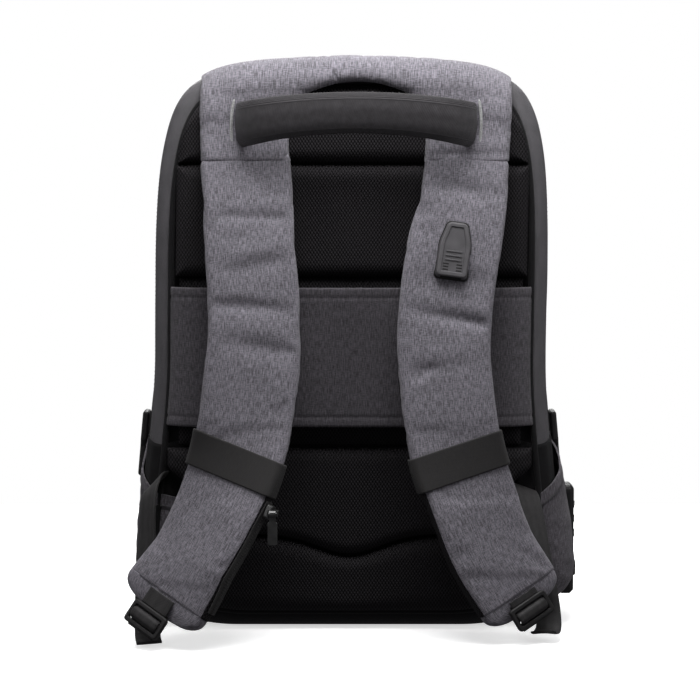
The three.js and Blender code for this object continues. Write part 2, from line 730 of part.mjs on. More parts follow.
// The pull hangs from the pin: a barrel eye, a narrow neck and a wider flat grip.
function zipPull() {
  const { width, neck, length, thick, hole, eye, grip } = PULL;
  const ring = new THREE.Shape(roundHole(eye, 12).getPoints());
  ring.holes.push(roundHole(hole, 12));
  const barrel = new THREE.ExtrudeGeometry(ring, { depth: neck, bevelEnabled: false });
  const aboutX = new THREE.Matrix4().makeBasis(vector(0, 1, 0), vector(0, 0, 1), vector(1, 0, 0));
  const [stemTop, foot] = [-(hole + eye) / 2, eye - length];
  const stem = new THREE.BoxGeometry(neck, thick, stemTop + grip + 2);
  const flat = plate(roundedRectangle(width, -grip - foot, 2), thick, 0.3);
  const upright = new THREE.Matrix4().makeBasis(vector(1, 0, 0), vector(0, 0, 1), vector(0, -1, 0));
  const pull = solid(barrel, at(-neck / 2, 0, 0).multiply(aboutX))
    .add(solid(stem, at(0, 0, (stemTop - grip - 2) / 2)))
    .add(solid(flat, at(0, thick / 2, (foot - grip) / 2).multiply(upright)));
  return surface(pull);
}

// The sides

// Open pocket on a side, from the rear seam round the roll and along: the shell's row that it lies on, the
// height of its slanted hem, and how far it stands off the shell at its fullest.
const POCKET_ROWS = [
  { ...rearRow(0), hem: 110, off: 1.2 },
  { ...rearRow(30 * degrees), hem: 116, off: 3 },
  { ...rearRow(60 * degrees), hem: 123, off: 6 },
  { ...rearRow(90 * degrees), hem: 130, off: 10 },
  { ...shellRowAt(-36), hem: 136, off: 12 },
  { ...shellRowAt(-22), hem: 141, off: 10 },
  { ...shellRowAt(-11), hem: 144, off: 5 },
  { ...shellRowAt(-4), hem: 146, off: 1.2 },
];
const POCKET_SWELL = [
  { v: 0, swell: 0.5 }, { v: 0.06, swell: 0.8 }, { v: 0.13, swell: 0.97 }, { v: 0.25, swell: 1 },
  { v: 0.5, swell: 0.9 }, { v: 0.78, swell: 0.62 }, { v: 1, swell: 0.38 },
];
const POCKET = { foot: 22, wall: 2, full: { left: 0.3, right: 1 } };

function sidePocket(name) {
  const { foot, wall, full } = POCKET;
  return loft(POCKET_ROWS.map((row) => {
    const off = Math.max(1.2, row.off * full[name]);
    const point = ({ v, swell }, extra) => {
      const z = mix(foot, row.hem, v);
      return sidePoint(SIDES[name], row, z, GAP + off * swell + extra);
    };
    return [
      ...POCKET_SWELL.map((level) => point(level, wall)),
      ...POCKET_SWELL.map((level) => point(level, 0)).reverse(),
    ];
  }));
}

// The slack webbing above a pocket: how far it bows off the shell at a height, and its shape.
function strapBow(z) {
  const share = (z - SIDE_STRAP.low) / (SIDE_STRAP.high - SIDE_STRAP.low);
  return GAP + SIDE_STRAP.bow * Math.sqrt(Math.max(0, 1 - (2 * share - 1) ** 4));
}

function sideStrap(side) {
  const { y, low, high } = SIDE_STRAP;
  const edges = [y - WEBBING.width / 2, y + WEBBING.width / 2].map(shellRowAt);
  const levels = [0, 0.04, 0.12, 0.25, 0.5, 0.75, 0.88, 0.96, 1];
  return loft(levels.map((v) => mix(low, high, v)).map((z) => [
    ...edges.map((row) => sidePoint(side, row, z, strapBow(z) + WEBBING.thick)),
    ...edges.map((row) => sidePoint(side, row, z, strapBow(z))).reverse(),
  ]));
}

// A fastened buckle, seen as one moulding with a waist where its halves meet.
function sideBuckle() {
  const { width, length, thick } = BUCKLE;
  const [half, end] = [width / 2, length / 2];
  const shape = new THREE.Shape();
  shape.moveTo(-half + 4, -end);
  shape.lineTo(half - 4, -end);
  shape.quadraticCurveTo(half, -end, half, -end + 5);
  shape.lineTo(half - 2.5, -2);
  shape.lineTo(half, 4);
  shape.lineTo(half - 3, end - 3);
  shape.quadraticCurveTo(half - 3, end, half - 6, end);
  shape.lineTo(-half + 6, end);
  shape.quadraticCurveTo(-half + 3, end, -half + 3, end - 3);
  shape.lineTo(-half, 4);
  shape.lineTo(-half + 2.5, -2);
  shape.lineTo(-half, -end + 5);
  shape.quadraticCurveTo(-half, -end, -half + 4, -end);
  return plate(shape, thick, 1.4);
}

// The padded seat between the bag's side and its lock.
function lockMount() {
  const top = LOCK.z + LOCK.length / 2 + 3;
  const edges = [LOCK.y - LOCK.width / 2, LOCK.y + LOCK.width / 2];
  return loft(span(LOCK.foot, top, 5).map((z) => [
    ...edges.map((y) => vector(LOCK.seat - GAP, y, z)),
    ...edges.map((y) => sidePoint(1, shellRowAt(y), z, GAP)).reverse(),
  ]));
}

// Place of the dials' shared axle, and of each dial along it.
const AXLE_X = LOCK.seat + LOCK.thick - DIAL.radius + DIAL.proud;
const dialZ = (index) => DIAL.first - index * DIAL.pitch;

// The lock's case, with slots for the dials, their axle and a recess for the button.
function lockBody() {
  const { length, width, thick, seat, round } = LOCK;
  const outline = roundedRectangle(width, length, 6);
  const turn = new THREE.Matrix4().makeBasis(vector(0, 1, 0), vector(0, 0, 1), vector(1, 0, 0));
  let body = solid(plate(outline, thick, round), at(seat, LOCK.y, LOCK.z).multiply(turn));
  const room = 2 * DIAL.radius + 1;
  const high = DIAL.thick + 2 * GAP;
  [0, 1, 2].forEach((index) => {
    const slot = new THREE.BoxGeometry(room, room, high);
    const mouth = new THREE.BoxGeometry(2 * thick, room, high);
    body = body.subtract(solid(slot, at(AXLE_X, LOCK.y, dialZ(index))));
    body = body.subtract(solid(mouth, at(AXLE_X + thick, LOCK.y, dialZ(index))));
  });
  const recess = new THREE.BoxGeometry(2 * BUTTON.deep, BUTTON.width + 1, BUTTON.length + BUTTON.travel + 1);
  body = body.subtract(solid(recess, at(seat + thick, LOCK.y, BUTTON.z + BUTTON.travel / 2)));
  const pin = DIAL.bore - GAP;
  const axle = new THREE.CylinderGeometry(pin, pin, 3 * DIAL.pitch, 10).rotateX(90 * degrees);
  return surface(body.add(solid(axle, at(AXLE_X, LOCK.y, dialZ(1)))));
}

// A number wheel with ten finger flats, turned about Z.
function lockDial() {
  const { radius, bore, thick, sides } = DIAL;
  const rim = span(0, 1, sides).slice(0, -1).map((turn, i) => {
    const reach = i % 2 ? radius - 0.5 : radius;
    return new THREE.Vector2(reach * Math.cos(turn * 360 * degrees), reach * Math.sin(turn * 360 * degrees));
  });
  const shape = new THREE.Shape(rim);
  shape.holes.push(roundHole(bore, 10));
  return new THREE.ExtrudeGeometry(shape, { depth: thick, bevelEnabled: false })
    .translate(0, 0, -thick / 2);
}

function lockButton() {
  const deep = BUTTON.deep - GAP;
  return plate(roundedRectangle(BUTTON.width, BUTTON.length, 2), deep + BUTTON.proud, 0.8);
}

// Finishes, as seen in the photograph
const FINISHES = {
  heather: { color: 0x7d7c82, roughness: 0.95, metalness: 0 },
  bandHeather: { color: 0x58555a, roughness: 0.95, metalness: 0 },
  charcoal: { color: 0x3e3c40, roughness: 0.6, metalness: 0 },
  mesh: { color: 0x17161a, roughness: 0.95, metalness: 0 },
  webbing: { color: 0x37343a, roughness: 0.75, metalness: 0 },
  plastic: { color: 0x2b2a2d, roughness: 0.45, metalness: 0 },
  outlet: { color: 0x3a3a40, roughness: 0.5, metalness: 0 },
  pull: { color: 0x222126, roughness: 0.35, metalness: 0.6 },
};

const backpack = new THREE.Group();

function add(name, geometry, finish, matrix = new THREE.Matrix4()) {
  const mesh = new THREE.Mesh(geometry, new THREE.MeshStandardMaterial(FINISHES[finish]));
  mesh.name = name;
  matrix.decompose(mesh.position, mesh.quaternion, mesh.scale);
  backpack.add(mesh);
}

add("back_board", backBoard(), "charcoal");
add("gusset_top", gussetTop(), "charcoal");
add("base_panel", basePanel(), "charcoal");
add("front_panel", frontPanel(), "heather");
add("main_zip", mainZip(), "webbing");
CUSHIONS.forEach((row) => add(row.name, cushion(row), "mesh"));
add("luggage_band", luggageBand(), "bandHeather");
add("yoke", yoke(), "heather");
add("handle", handle(), "webbing");

Object.entries(SIDES).forEach(([name, side]) => {
  add(`gusset_${name}`, gusset(side), "charcoal");
  add(`strap_${name}`, strap(name), "heather");
  add(`strap_tip_${name}`, strapTip(name), "heather");
  add(`strap_band_${name}`, strapBand(name), "webbing");
  add(`end_tab_${name}`, endTab(name), "webbing");
  const end = beyondEnd(name, ENDS[name].hang);
  const hung = settle(offset(end, 0, LADDER_LIFT));
  const turned = placed(hung, end.across.clone().multiplyScalar(side), end.along.clone().negate(), end.face);
  add(`ladder_lock_${name}`, ladderLock(), "plastic", turned);
  add(`adjuster_${name}`, adjuster(name), "webbing");
  add(`side_pocket_${name}`, sidePocket(name), "heather");
  add(`side_strap_${name}`, sideStrap(side), "webbing");
  const beside = (z) => sidePoint(side, shellRowAt(SIDE_STRAP.y), z, strapBow(z) + WEBBING.thick + 2 * GAP);
  const seat = beside(BUCKLE.z - BUCKLE.length / 2);
  const peak = beside(BUCKLE.z + BUCKLE.length / 2);
  const up = peak.clone().sub(seat).normalize();
  const out = vector(0, side, 0).cross(up).normalize();
  const middle = seat.clone().lerp(peak, 0.5).addScaledVector(out, 0.8);
  add(`side_buckle_${name}`, sideBuckle(), "plastic", placed(settle(middle), vector(0, side, 0), up, out));
});

const outlet = GUIDES.right(USB.share);
add("usb_port", usbPort(), "outlet", placed(
  settle(offset(outlet, 0, outlet.thick / 2 + GAP)),
  outlet.across,
  outlet.along.clone().negate(),
  outlet.face,
));

add("strap_zip", strapZip(), "webbing");
add("zip_slider", zipSlider(), "pull");
add("zip_pull", zipPull(), "pull", at(PULL_PIN.x, PULL_PIN.y, PULL_PIN.z));
add("lock_mount", lockMount(), "charcoal");
add("lock_body", lockBody(), "plastic");
[0, 1, 2].forEach((index) => {
  add(`lock_dial_${index + 1}`, lockDial(), "plastic", at(AXLE_X, LOCK.y, dialZ(index)));
});
add("lock_button", lockButton(), "plastic", placed(
  vector(LOCK.seat + LOCK.thick - BUTTON.deep + GAP, LOCK.y, BUTTON.z),
  vector(0, 1, 0),
  vector(0, 0, 1),
  vector(1, 0, 0),
));

export default backpack;
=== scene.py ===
"""Dresses a laptop backpack: sewn cloth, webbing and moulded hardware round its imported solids.

Lengths are millimetres until a mesh is made, and MM turns them into the scene's metres. The frame is the
solids' own: +X to the viewer's right when facing the harness, -Y towards the viewer, +Z up.
"""
import logging
import math
from dataclasses import astuple, dataclass, replace
from enum import Enum
from functools import lru_cache, reduce
from typing import Any, Callable, Sequence

import bmesh
import bpy
import numpy as np
from mathutils import Matrix, Vector, noise


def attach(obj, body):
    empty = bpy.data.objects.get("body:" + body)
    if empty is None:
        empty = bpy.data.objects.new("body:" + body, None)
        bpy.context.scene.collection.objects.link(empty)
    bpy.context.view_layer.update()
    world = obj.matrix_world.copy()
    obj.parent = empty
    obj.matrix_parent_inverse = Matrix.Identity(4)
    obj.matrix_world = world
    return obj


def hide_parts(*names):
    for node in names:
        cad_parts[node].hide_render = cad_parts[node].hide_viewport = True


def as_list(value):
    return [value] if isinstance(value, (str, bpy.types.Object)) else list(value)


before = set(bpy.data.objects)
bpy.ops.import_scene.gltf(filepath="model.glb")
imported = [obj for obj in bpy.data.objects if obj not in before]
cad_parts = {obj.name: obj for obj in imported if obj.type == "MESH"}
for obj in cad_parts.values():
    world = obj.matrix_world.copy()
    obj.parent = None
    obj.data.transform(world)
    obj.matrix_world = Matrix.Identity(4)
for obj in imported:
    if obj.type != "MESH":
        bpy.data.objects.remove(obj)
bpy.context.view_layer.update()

MM = 0.001
RIGHT_ANGLE = math.pi / 2
FULL_TURN = 2 * math.pi
CLEARANCE = 0.3
YOKE_FOOT = 374.4
STITCH_PITCH = 4.0
STITCH_SIZE = (0.36 * STITCH_PITCH, 0.42, 0.34)
MEASURE_STEPS = 60
MEASURE_AT = (0.2, 0.5, 0.8)
WHITE = (1.0, 1.0, 1.0, 1.0)
log = logging.getLogger("backpack")

# A surface gives the point for a share across and a share along. A line gives, for a share of its length,
# the place, the direction across and the face.
Place = Callable[[float, float], Vector]
Spot = tuple[Vector, Vector, Vector]
Line = Callable[[float], Spot]
Colour = tuple[float, float, float, float]
Form = bmesh.types.BMesh
Piece = bpy.types.Object
Socket = bpy.types.NodeSocket


class Side(Enum):
    """Left and right as the viewer sees them, with the sign of X."""

    LEFT = -1
    RIGHT = 1

    def of(self, name: str) -> str:
        """A piece's or a solid's name on this side."""
        return f"{name}_{self.name.lower()}"


class Chart(Enum):
    """How a cloth's own map is laid: along the piece, or flat as it faces the viewer."""

    ALONG = 0
    FACING = 1


# Small sums


def mix(first: float, second: float, share: float) -> float:
    """The value between two others at a share."""
    return first + (second - first) * share


def clamp(value: float, low: float = 0.0, high: float = 1.0) -> float:
    """The value kept between two limits."""
    return min(max(value, low), high)


def smoothstep(value: float, low: float, high: float) -> float:
    """A soft step from 0 to 1 between two values."""
    share = clamp((value - low) / (high - low))
    return share * share * (3 - 2 * share)


def bell(value: float, middle: float, width: float) -> float:
    """A soft bump of height 1."""
    return math.exp(-(((value - middle) / width) ** 2))


def arch(value: float, power: float, least: float = 0.0) -> float:
    """The height of a round arch from -1 to 1, squarer for a higher power."""
    return math.sqrt(max(least, 1 - abs(value) ** power))


def quarter_round(share: float) -> float:
    """The height of a rounded edge at a share of the way in, level after its end."""
    return arch(1 - min(1.0, share), 2)


def signed_power(value: float, power: float) -> float:
    """The power of a value's size, with the value's sign."""
    return math.copysign(abs(value) ** power, value)


def shares_between(margin: float, steps: int) -> list[float]:
    """Even shares of a length, short of both its ends by a margin."""
    return [margin + (1 - 2 * margin) * i / steps for i in range(steps + 1)]


def turned(across: Vector, face: Vector, angle: float) -> tuple[Vector, Vector]:
    """Two directions at a right angle, turned together."""
    cosine, sine = math.cos(angle), math.sin(angle)
    return across * cosine + face * sine, face * cosine - across * sine


@dataclass(frozen=True)
class Unevenness:
    """Even, repeatable unevenness: its height, the size of its folds, and a number that sets it apart."""

    height: float
    size: float
    seed: float

    def at(self, point: Sequence[float]) -> float:
        """The rise or fall at a point."""
        shift = Vector((self.seed, 2 * self.seed, 3 * self.seed))
        return self.height * noise.noise(Vector(point) / self.size + shift)


class Route:
    """A smooth curve through a few points, of any number of columns, measured along its length."""

    STEPS = 24
    LEAST = 1e-6

    def __init__(self, points: Sequence[Sequence[float]]) -> None:
        """Lays the curve.

        Args:
            points: The points that it passes through, in order.
        """
        knots = np.array(points, float)
        ends = np.vstack([2 * knots[0] - knots[1], knots, 2 * knots[-1] - knots[-2]])
        share = np.linspace(0, 1, self.STEPS, endpoint=False)[:, None]
        pieces = []
        for a, b, c, d in zip(ends, ends[1:], ends[2:], ends[3:]):
            pairs = ((a, b), (b, c), (c, d))
            ab, bc, cd = (max(np.linalg.norm(q - p) ** 0.5, self.LEAST) for p, q in pairs)
            leave = ((b - a) / ab - (c - a) / (ab + bc) + (c - b) / bc) * bc
            arrive = ((c - b) / bc - (d - b) / (bc + cd) + (d - c) / cd) * bc
            bend = 3 * (c - b) - 2 * leave - arrive
            pieces.append(b + leave * share + bend * share**2 + (2 * (b - c) + leave + arrive) * share**3)
        self.line = np.vstack([*pieces, knots[-1:]])
        steps = np.linalg.norm(np.diff(self.line, axis=0), axis=1)
        self.reach = np.concatenate([[0.0], np.cumsum(steps)])
        self.length = float(self.reach[-1])
        self.slope = np.gradient(self.line, self.reach, axis=0)

    def values(self, share: float) -> np.ndarray:
        """All columns at a share of the length."""
        place = clamp(share) * self.length
        return np.array([np.interp(place, self.reach, column) for column in self.line.T])

    def at(self, share: float) -> tuple[Vector, Vector, float]:
        """A place on the curve, which runs straight on past its ends.

        Args:
            share: Share of the length, which may be under 0 or over 1.

        Returns:
            The place, the direction there, and the place counted in knots.
        """
        along = clamp(share) * self.length
        way = Vector([np.interp(along, self.reach, column) for column in self.slope.T]).normalized()
        beyond = (max(0.0, share - 1.0) + min(0.0, share)) * self.length
        knot = float(np.interp(along, self.reach, np.arange(len(self.reach)) / self.STEPS))
        return Vector(self.values(share)) + way * beyond, way, knot


# The bag's outline, shared by every piece


@dataclass(frozen=True)
class Row:
    """One depth of the shell: its place, how far it lies inside the outline, and which way it faces."""

    y: float
    inset: float = 0.0
    drop: float = 0.0
    lean: float = 0.0
    out: float = 1.0
    back: float = 0.0

    def towards(self, other: "Row", share: float) -> "Row":
        """The row between this one and another."""
        return Row(*(mix(a, b, share) for a, b in zip(astuple(self), astuple(other))))


@dataclass(frozen=True)
class Outline:
    """The outline of the sewn shell, one formula for every depth.

    A place on it is 0 in the middle of the base, 1 to 2 in the right corner, 2 to 3 up the side, 3 to 4
    round the shoulder, 4 in the middle of the top, and on down the left side to 8. A negative one goes up
    the left side.
    """

    SIDE_FOOT = 2.0
    TOP = 4.0
    ALL_ROUND = 8.0
    EVEN_STEPS = 1200
    NEAR_TOP = 60.0
    NEAR_STEPS = 121

    height: float = 446.5
    crown: float = 1.5
    side_half: float = 157.5
    base_half: float = 169.0
    hip_low: float = 55.0
    hip_high: float = 220.0
    shoulder: float = 273.0
    across_power: float = 2 / 9
    up_power: float = 2 / 3
    corner_across: float = 78.0
    corner_up: float = 42.0
    settle_by: float = 4.5
    rear_y: float = -62.0
    rear_depth: float = 15.0
    rear_inset: float = 12.5
    middle: Row = Row(4.0, -1.0, 8.0, 10.0)
    front_y: float = 72.0
    front_depth: float = 22.0
    front_inset: float = 20.0
    front_drop: float = 22.0
    front_lean: float = 30.0
    roll_share: float = 0.22

    def settle(self, point: Vector) -> Vector:
        """The slight sideways settle of the whole bag, most at the top."""
        return Vector((point.x + self.settle_by * (point.z / self.height) ** 2, point.y, point.z))

    def half_width(self, z: float, inset: float) -> float:
        """Half the width at a height between the base corner and the shoulder."""
        return mix(self.base_half, self.side_half, smoothstep(z, self.hip_low, self.hip_high)) - inset

    def top(self, x: float) -> float:
        """The height of the shell's top.

        Args:
            x: Distance from the middle.

        Returns:
            The height there.
        """
        share = min(1.0, abs(x) / self.side_half)
        turn = math.acos(share ** (1 / self.across_power))
        rise = (self.height - self.shoulder) * math.sin(turn) ** self.up_power
        return self.shoulder + rise + self.crown * (1 - share**2)

    def point(self, row: Row, p: float) -> Vector:
        """A point of the outline at one depth.

        Args:
            row: The depth.
            p: The place on the outline.

        Returns:
            The point, before the bag's settle.
        """
        q = self.ALL_ROUND - p if p > self.TOP else abs(p)
        base = max(0.0, row.inset)
        x, z = 0.0, base
        if q < 1:
            x = q * (self.half_width(0, row.inset) - self.corner_across)
        elif q < 2:
            turn = (q - 1) * RIGHT_ANGLE
            x = self.half_width(0, row.inset) - self.corner_across * (1 - math.sin(turn))
            z = base + self.corner_up * (1 - math.cos(turn))
        elif q < 3:
            z = mix(base + self.corner_up, self.shoulder, q - 2)
            x = self.half_width(z, row.inset)
        else:
            turn = (q - 3) * RIGHT_ANGLE
            half = self.side_half - row.inset
            x = half * max(0.0, math.cos(turn)) ** self.across_power
            rise = self.height - row.inset - row.drop - self.shoulder
            z = self.shoulder + rise * math.sin(turn) ** self.up_power + self.crown * (1 - (x / half) ** 2)
        left = p < 0 or p > self.TOP
        return Vector((-x if left else x, row.y - row.lean * z / self.height, z))

    def rear_row(self, turn: float) -> Row:
        """A row of the roll on to the back.

        Args:
            turn: The angle, from 0 at the rear seam to a right angle at the side.

        Returns:
            The row.
        """
        y = self.rear_y + self.rear_depth * (1 - math.cos(turn))
        inset = self.rear_inset * (1 - math.sin(turn))
        return Row(y, inset, out=math.sin(turn), back=-math.cos(turn))

    def front_row(self, turn: float) -> Row:
        """A row of the roll on to the front.

        Args:
            turn: The angle, from 0 at the front seam to a right angle at the side.

        Returns:
            The row.
        """
        y = self.front_y - self.front_depth * (1 - math.cos(turn))
        inset = self.front_inset * (1 - math.sin(turn))
        return Row(y, inset, self.front_drop, self.front_lean, math.sin(turn), math.cos(turn))

    def row_at(self, y: float) -> Row:
        """The shell's row at a depth.

        Args:
            y: The depth, between the two rolls.

        Returns:
            The row.
        """
        rear, front = self.rear_row(RIGHT_ANGLE), self.front_row(RIGHT_ANGLE)
        first, second = (rear, self.middle) if y < self.middle.y else (self.middle, front)
        return first.towards(second, (y - first.y) / (second.y - first.y))

    def row_across(self, share: float) -> Row:
        """The shell's row at a share of the way over both rolls.

        Args:
            share: 0 at the rear seam, 1 at the front seam.

        Returns:
            The row.
        """
        if share < self.roll_share:
            return self.rear_row(RIGHT_ANGLE * share / self.roll_share)
        if share > 1 - self.roll_share:
            return self.front_row(RIGHT_ANGLE * (1 - share) / self.roll_share)
        rear, front = self.rear_row(RIGHT_ANGLE), self.front_row(RIGHT_ANGLE)
        between = (share - self.roll_share) / (1 - 2 * self.roll_share)
        return self.row_at(mix(rear.y, front.y, between))

    def side_point(self, side: Side, row: Row, z: float, off: float) -> Vector:
        """A point on or off one side.

        Args:
            side: The side.
            row: The shell's row.
            z: The height.
            off: Distance off the row, along the way that it faces.

        Returns:
            The point, before the bag's settle.
        """
        climb = (z - max(0.0, row.inset)) / self.corner_up
        x = self.half_width(z, row.inset) - self.corner_across * (1 - quarter_round(climb)) + off * row.out
        return Vector((side.value * x, row.y + off * row.back, z))

    def crown_place(self, x: float) -> float:
        """The place on the outline that is a distance from the middle of the top."""
        return 3 + math.acos((x / self.side_half) ** (1 / self.across_power)) / RIGHT_ANGLE

    def stations(self, start: float, end: float) -> Callable[[float], float]:
        """Even steps along the outline.

        Args:
            start: First place on the outline.
            end: Last place on the outline.

        Returns:
            A function from a share of the way to the place on the outline.
        """
        near = np.array([self.crown_place(x) for x in np.linspace(0.0, self.NEAR_TOP, self.NEAR_STEPS)])
        even = np.linspace(start, end, self.EVEN_STEPS)
        places = np.unique(np.concatenate([even, near, self.ALL_ROUND - near]))
        places = places[(places >= start) & (places <= end)]
        line = np.array([self.point(Row(0.0), p) for p in places])
        reach = np.concatenate([[0.0], np.cumsum(np.linalg.norm(np.diff(line, axis=0), axis=1))])
        return lambda share: float(np.interp(share * reach[-1], reach, places))


BAG = Outline()


# Meshes


def measure(place: Place) -> tuple[float, float]:
    """Measures a cloth along three lines each way on its surface.

    Args:
        place: The surface.

    Returns:
        The mean width and the mean length, in millimetres.
    """
    shares = [i / MEASURE_STEPS for i in range(MEASURE_STEPS + 1)]

    def length(points: list[Vector]) -> float:
        """The length of a line."""
        return sum((b - a).length for a, b in zip(points, points[1:]))

    wide = sum(length([place(u, v) for u in shares]) for v in MEASURE_AT) / len(MEASURE_AT)
    long = sum(length([place(u, v) for v in shares]) for u in MEASURE_AT) / len(MEASURE_AT)
    return wide, long


def show(name: str, data: bpy.types.ID) -> Piece:
    """Puts a new object in the scene.

    Args:
        name: Its name.
        data: Its mesh, text, lamp or camera.

    Returns:
        The object, at the origin.
    """
    piece = bpy.data.objects.new(name, data)
    bpy.context.scene.collection.objects.link(piece)
    return piece


def link(name: str, form: Form) -> Piece:
    """Makes a smooth object from a finished bmesh, which is freed.

    Args:
        name: The object's name.
        form: The bmesh, in metres.

    Returns:
        The object, in the scene.
    """
    mesh = bpy.data.meshes.new(name)
    form.to_mesh(mesh)
    form.free()
    mesh.shade_smooth()
    return show(name, mesh)


def face_outwards(form: Form, middle: Vector | None) -> None:
    """Turns faces outwards.

    Args:
        form: The bmesh.
        middle: The point that a sheet faces away from, or none for a closed body.
    """
    if middle is None:
        bmesh.ops.recalc_face_normals(form, faces=form.faces)
        outward = form.calc_volume(signed=True)
    else:
        form.normal_update()
        outward = sum(f.normal.dot(f.calc_center_median() - middle) * f.calc_area() for f in form.faces)
    if outward < 0:
        bmesh.ops.reverse_faces(form, faces=form.faces)


def round_edges(form: Form, edges: Sequence[bmesh.types.BMEdge], radius: float, segments: int) -> None:
    """Rounds some edges of a bmesh."""
    bmesh.ops.bevel(
        form, geom=edges, offset=radius, segments=segments, profile=0.5, affect="EDGES", material=-1
    )


@dataclass(frozen=True)
class Cut:
    """How a cloth is laid out: its grid, whether it closes round, and where its second finish begins."""

    columns: int
    rows: int
    closed: bool = False
    capped: bool = False
    chart: Chart = Chart.ALONG
    back_at: float | None = None
    facing: Vector | None = None
    second: Callable[[float, float], bool] | None = None
    lay: Callable[[float, float], tuple[float, float]] | None = None


def tube(columns: int, rows: int, **options: Any) -> Cut:
    """The layout of a body that closes round its section and is capped at both ends."""
    return Cut(columns, rows, closed=True, capped=True, **options)


def sew(name: str, cut: Cut, place: Place) -> Piece:
    """A cloth piece: a grid laid on a surface, with its own map in real size.

    Args:
        name: The piece's name.
        cut: How the grid is laid out.
        place: The surface, in millimetres.

    Returns:
        The object, at the origin with its place in its mesh.
    """
    form = bmesh.new()
    chart = form.loops.layers.uv.new("cloth")
    bmesh.ops.create_grid(form, x_segments=cut.columns, y_segments=cut.rows, size=0.5)
    shares = {vert: (vert.co.x + 0.5, vert.co.y + 0.5) for vert in form.verts}
    wide, long = measure(place)
    for vert, (u, v) in shares.items():
        vert.co = BAG.settle(place(u, v)) * MM
    for face in form.faces:
        for loop in face.loops:
            u, v = shares[loop.vert]
            spot = cut.lay(u, v) if cut.lay is not None else (u * wide, v * long)
            facing = (loop.vert.co.x, loop.vert.co.z)
            loop[chart].uv = facing if cut.chart is Chart.FACING else (spot[0] * MM, spot[1] * MM)
        if cut.second is not None:
            corners = [shares[vert] for vert in face.verts]
            u, v = (sum(corner[i] for corner in corners) / len(corners) for i in (0, 1))
            face.material_index = int(cut.second(u, v))
    if cut.closed:
        bmesh.ops.remove_doubles(form, verts=form.verts, dist=1e-6)
    if cut.back_at is not None:
        rim = [edge for edge in form.edges if edge.is_boundary]
        walls = bmesh.ops.extrude_edge_only(form, edges=rim)["geom"]
        for vert in (item for item in walls if isinstance(item, bmesh.types.BMVert)):
            vert.co.y = cut.back_at * MM
    if cut.capped or cut.back_at is not None:
        bmesh.ops.holes_fill(form, edges=[edge for edge in form.edges if edge.is_boundary], sides=0)
    whole = not any(edge.is_boundary for edge in form.edges)
    middle = cut.facing if cut.facing is not None else Vector((0.0, 0.0, BAG.height * MM / 2))
    face_outwards(form, None if whole else middle)
    return link(name, form)


def thicken(piece: Piece, thick: float, lining: bool = False) -> None:
    """Gives a sheet its thickness, inwards from its face.

    Args:
        piece: The sheet.
        thick: Thickness in millimetres.
        lining: Whether the inside takes the piece's second finish.
    """
    wall = piece.modifiers.new("thickness", "SOLIDIFY")
    wall.thickness = thick * MM
    wall.offset = -1.0
    wall.material_offset = int(lining)


def refine(piece: Piece) -> None:
    """Smooths a piece with a subdivision surface.

    Args:
        piece: The piece.
    """
    smooth = piece.modifiers.new("smooth", "SUBSURF")
    smooth.levels = 1
    smooth.render_levels = 1
    smooth.use_limit_surface = False


def ease_edges(piece: Piece, width: float, sharp: float = 30.0) -> None:
    """Eases the sharp edges of a hard piece.

    Args:
        piece: The piece.
        width: Width of the eased edge in millimetres.
        sharp: The angle in degrees from which an edge is sharp.
    """
    edges = piece.modifiers.new("edges", "BEVEL")
    edges.width = width * MM
    edges.segments = 2
    edges.limit_method = "ANGLE"
    edges.angle_limit = math.radians(sharp)


@dataclass(frozen=True)
class Swelling:
    """How padded cloth is inflated: pressure, slack in the cloth, and the farthest that a point moves."""

    pressure: float = 4.0
    slack: float = 0.012
    farthest: float = 2.5
    last_frame: int = 20

    def run(self, piece: Piece, loose: Callable[[Vector], float]) -> None:
        """Inflates a piece and keeps the result in its mesh.

        Args:
            piece: The piece, before its modifiers.
            loose: How free the cloth is at a point in millimetres, 0 where it is sewn down.
        """
        mesh = piece.data
        start = np.array([vert.co for vert in mesh.vertices])
        free = np.array([loose(vert.co / MM) for vert in mesh.vertices])
        seam = piece.vertex_groups.new(name="seam")
        for index, share in enumerate(free):
            seam.add([index], 1.0 - float(share), "REPLACE")
        cloth = piece.modifiers.new("swelling", "CLOTH")
        settings = cloth.settings
        settings.quality = 4
        settings.mass = 0.25
        settings.tension_stiffness = 20
        settings.compression_stiffness = 12
        settings.shear_stiffness = 6
        settings.bending_stiffness = 0.4
        settings.use_pressure = True
        settings.uniform_pressure_force = self.pressure
        settings.shrink_min = -self.slack
        settings.effector_weights.gravity = 0
        settings.vertex_group_mass = seam.name
        cloth.collision_settings.use_collision = False
        cloth.point_cache.frame_end = self.last_frame
        scene = bpy.context.scene
        for step in range(1, self.last_frame + 1):
            scene.frame_set(step)
        shown = piece.evaluated_get(bpy.context.evaluated_depsgraph_get())
        moved = np.array([vert.co for vert in shown.data.vertices]) - start
        piece.modifiers.remove(cloth)
        piece.vertex_groups.remove(seam)
        scene.frame_set(1)
        reach = np.linalg.norm(moved, axis=1)
        allowed = self.farthest * MM * free
        moved *= (np.minimum(reach, allowed) / np.maximum(reach, 1e-9))[:, None]
        mesh.vertices.foreach_set("co", (start + moved).astype(np.float32).ravel())
        mesh.update()


# Finishes


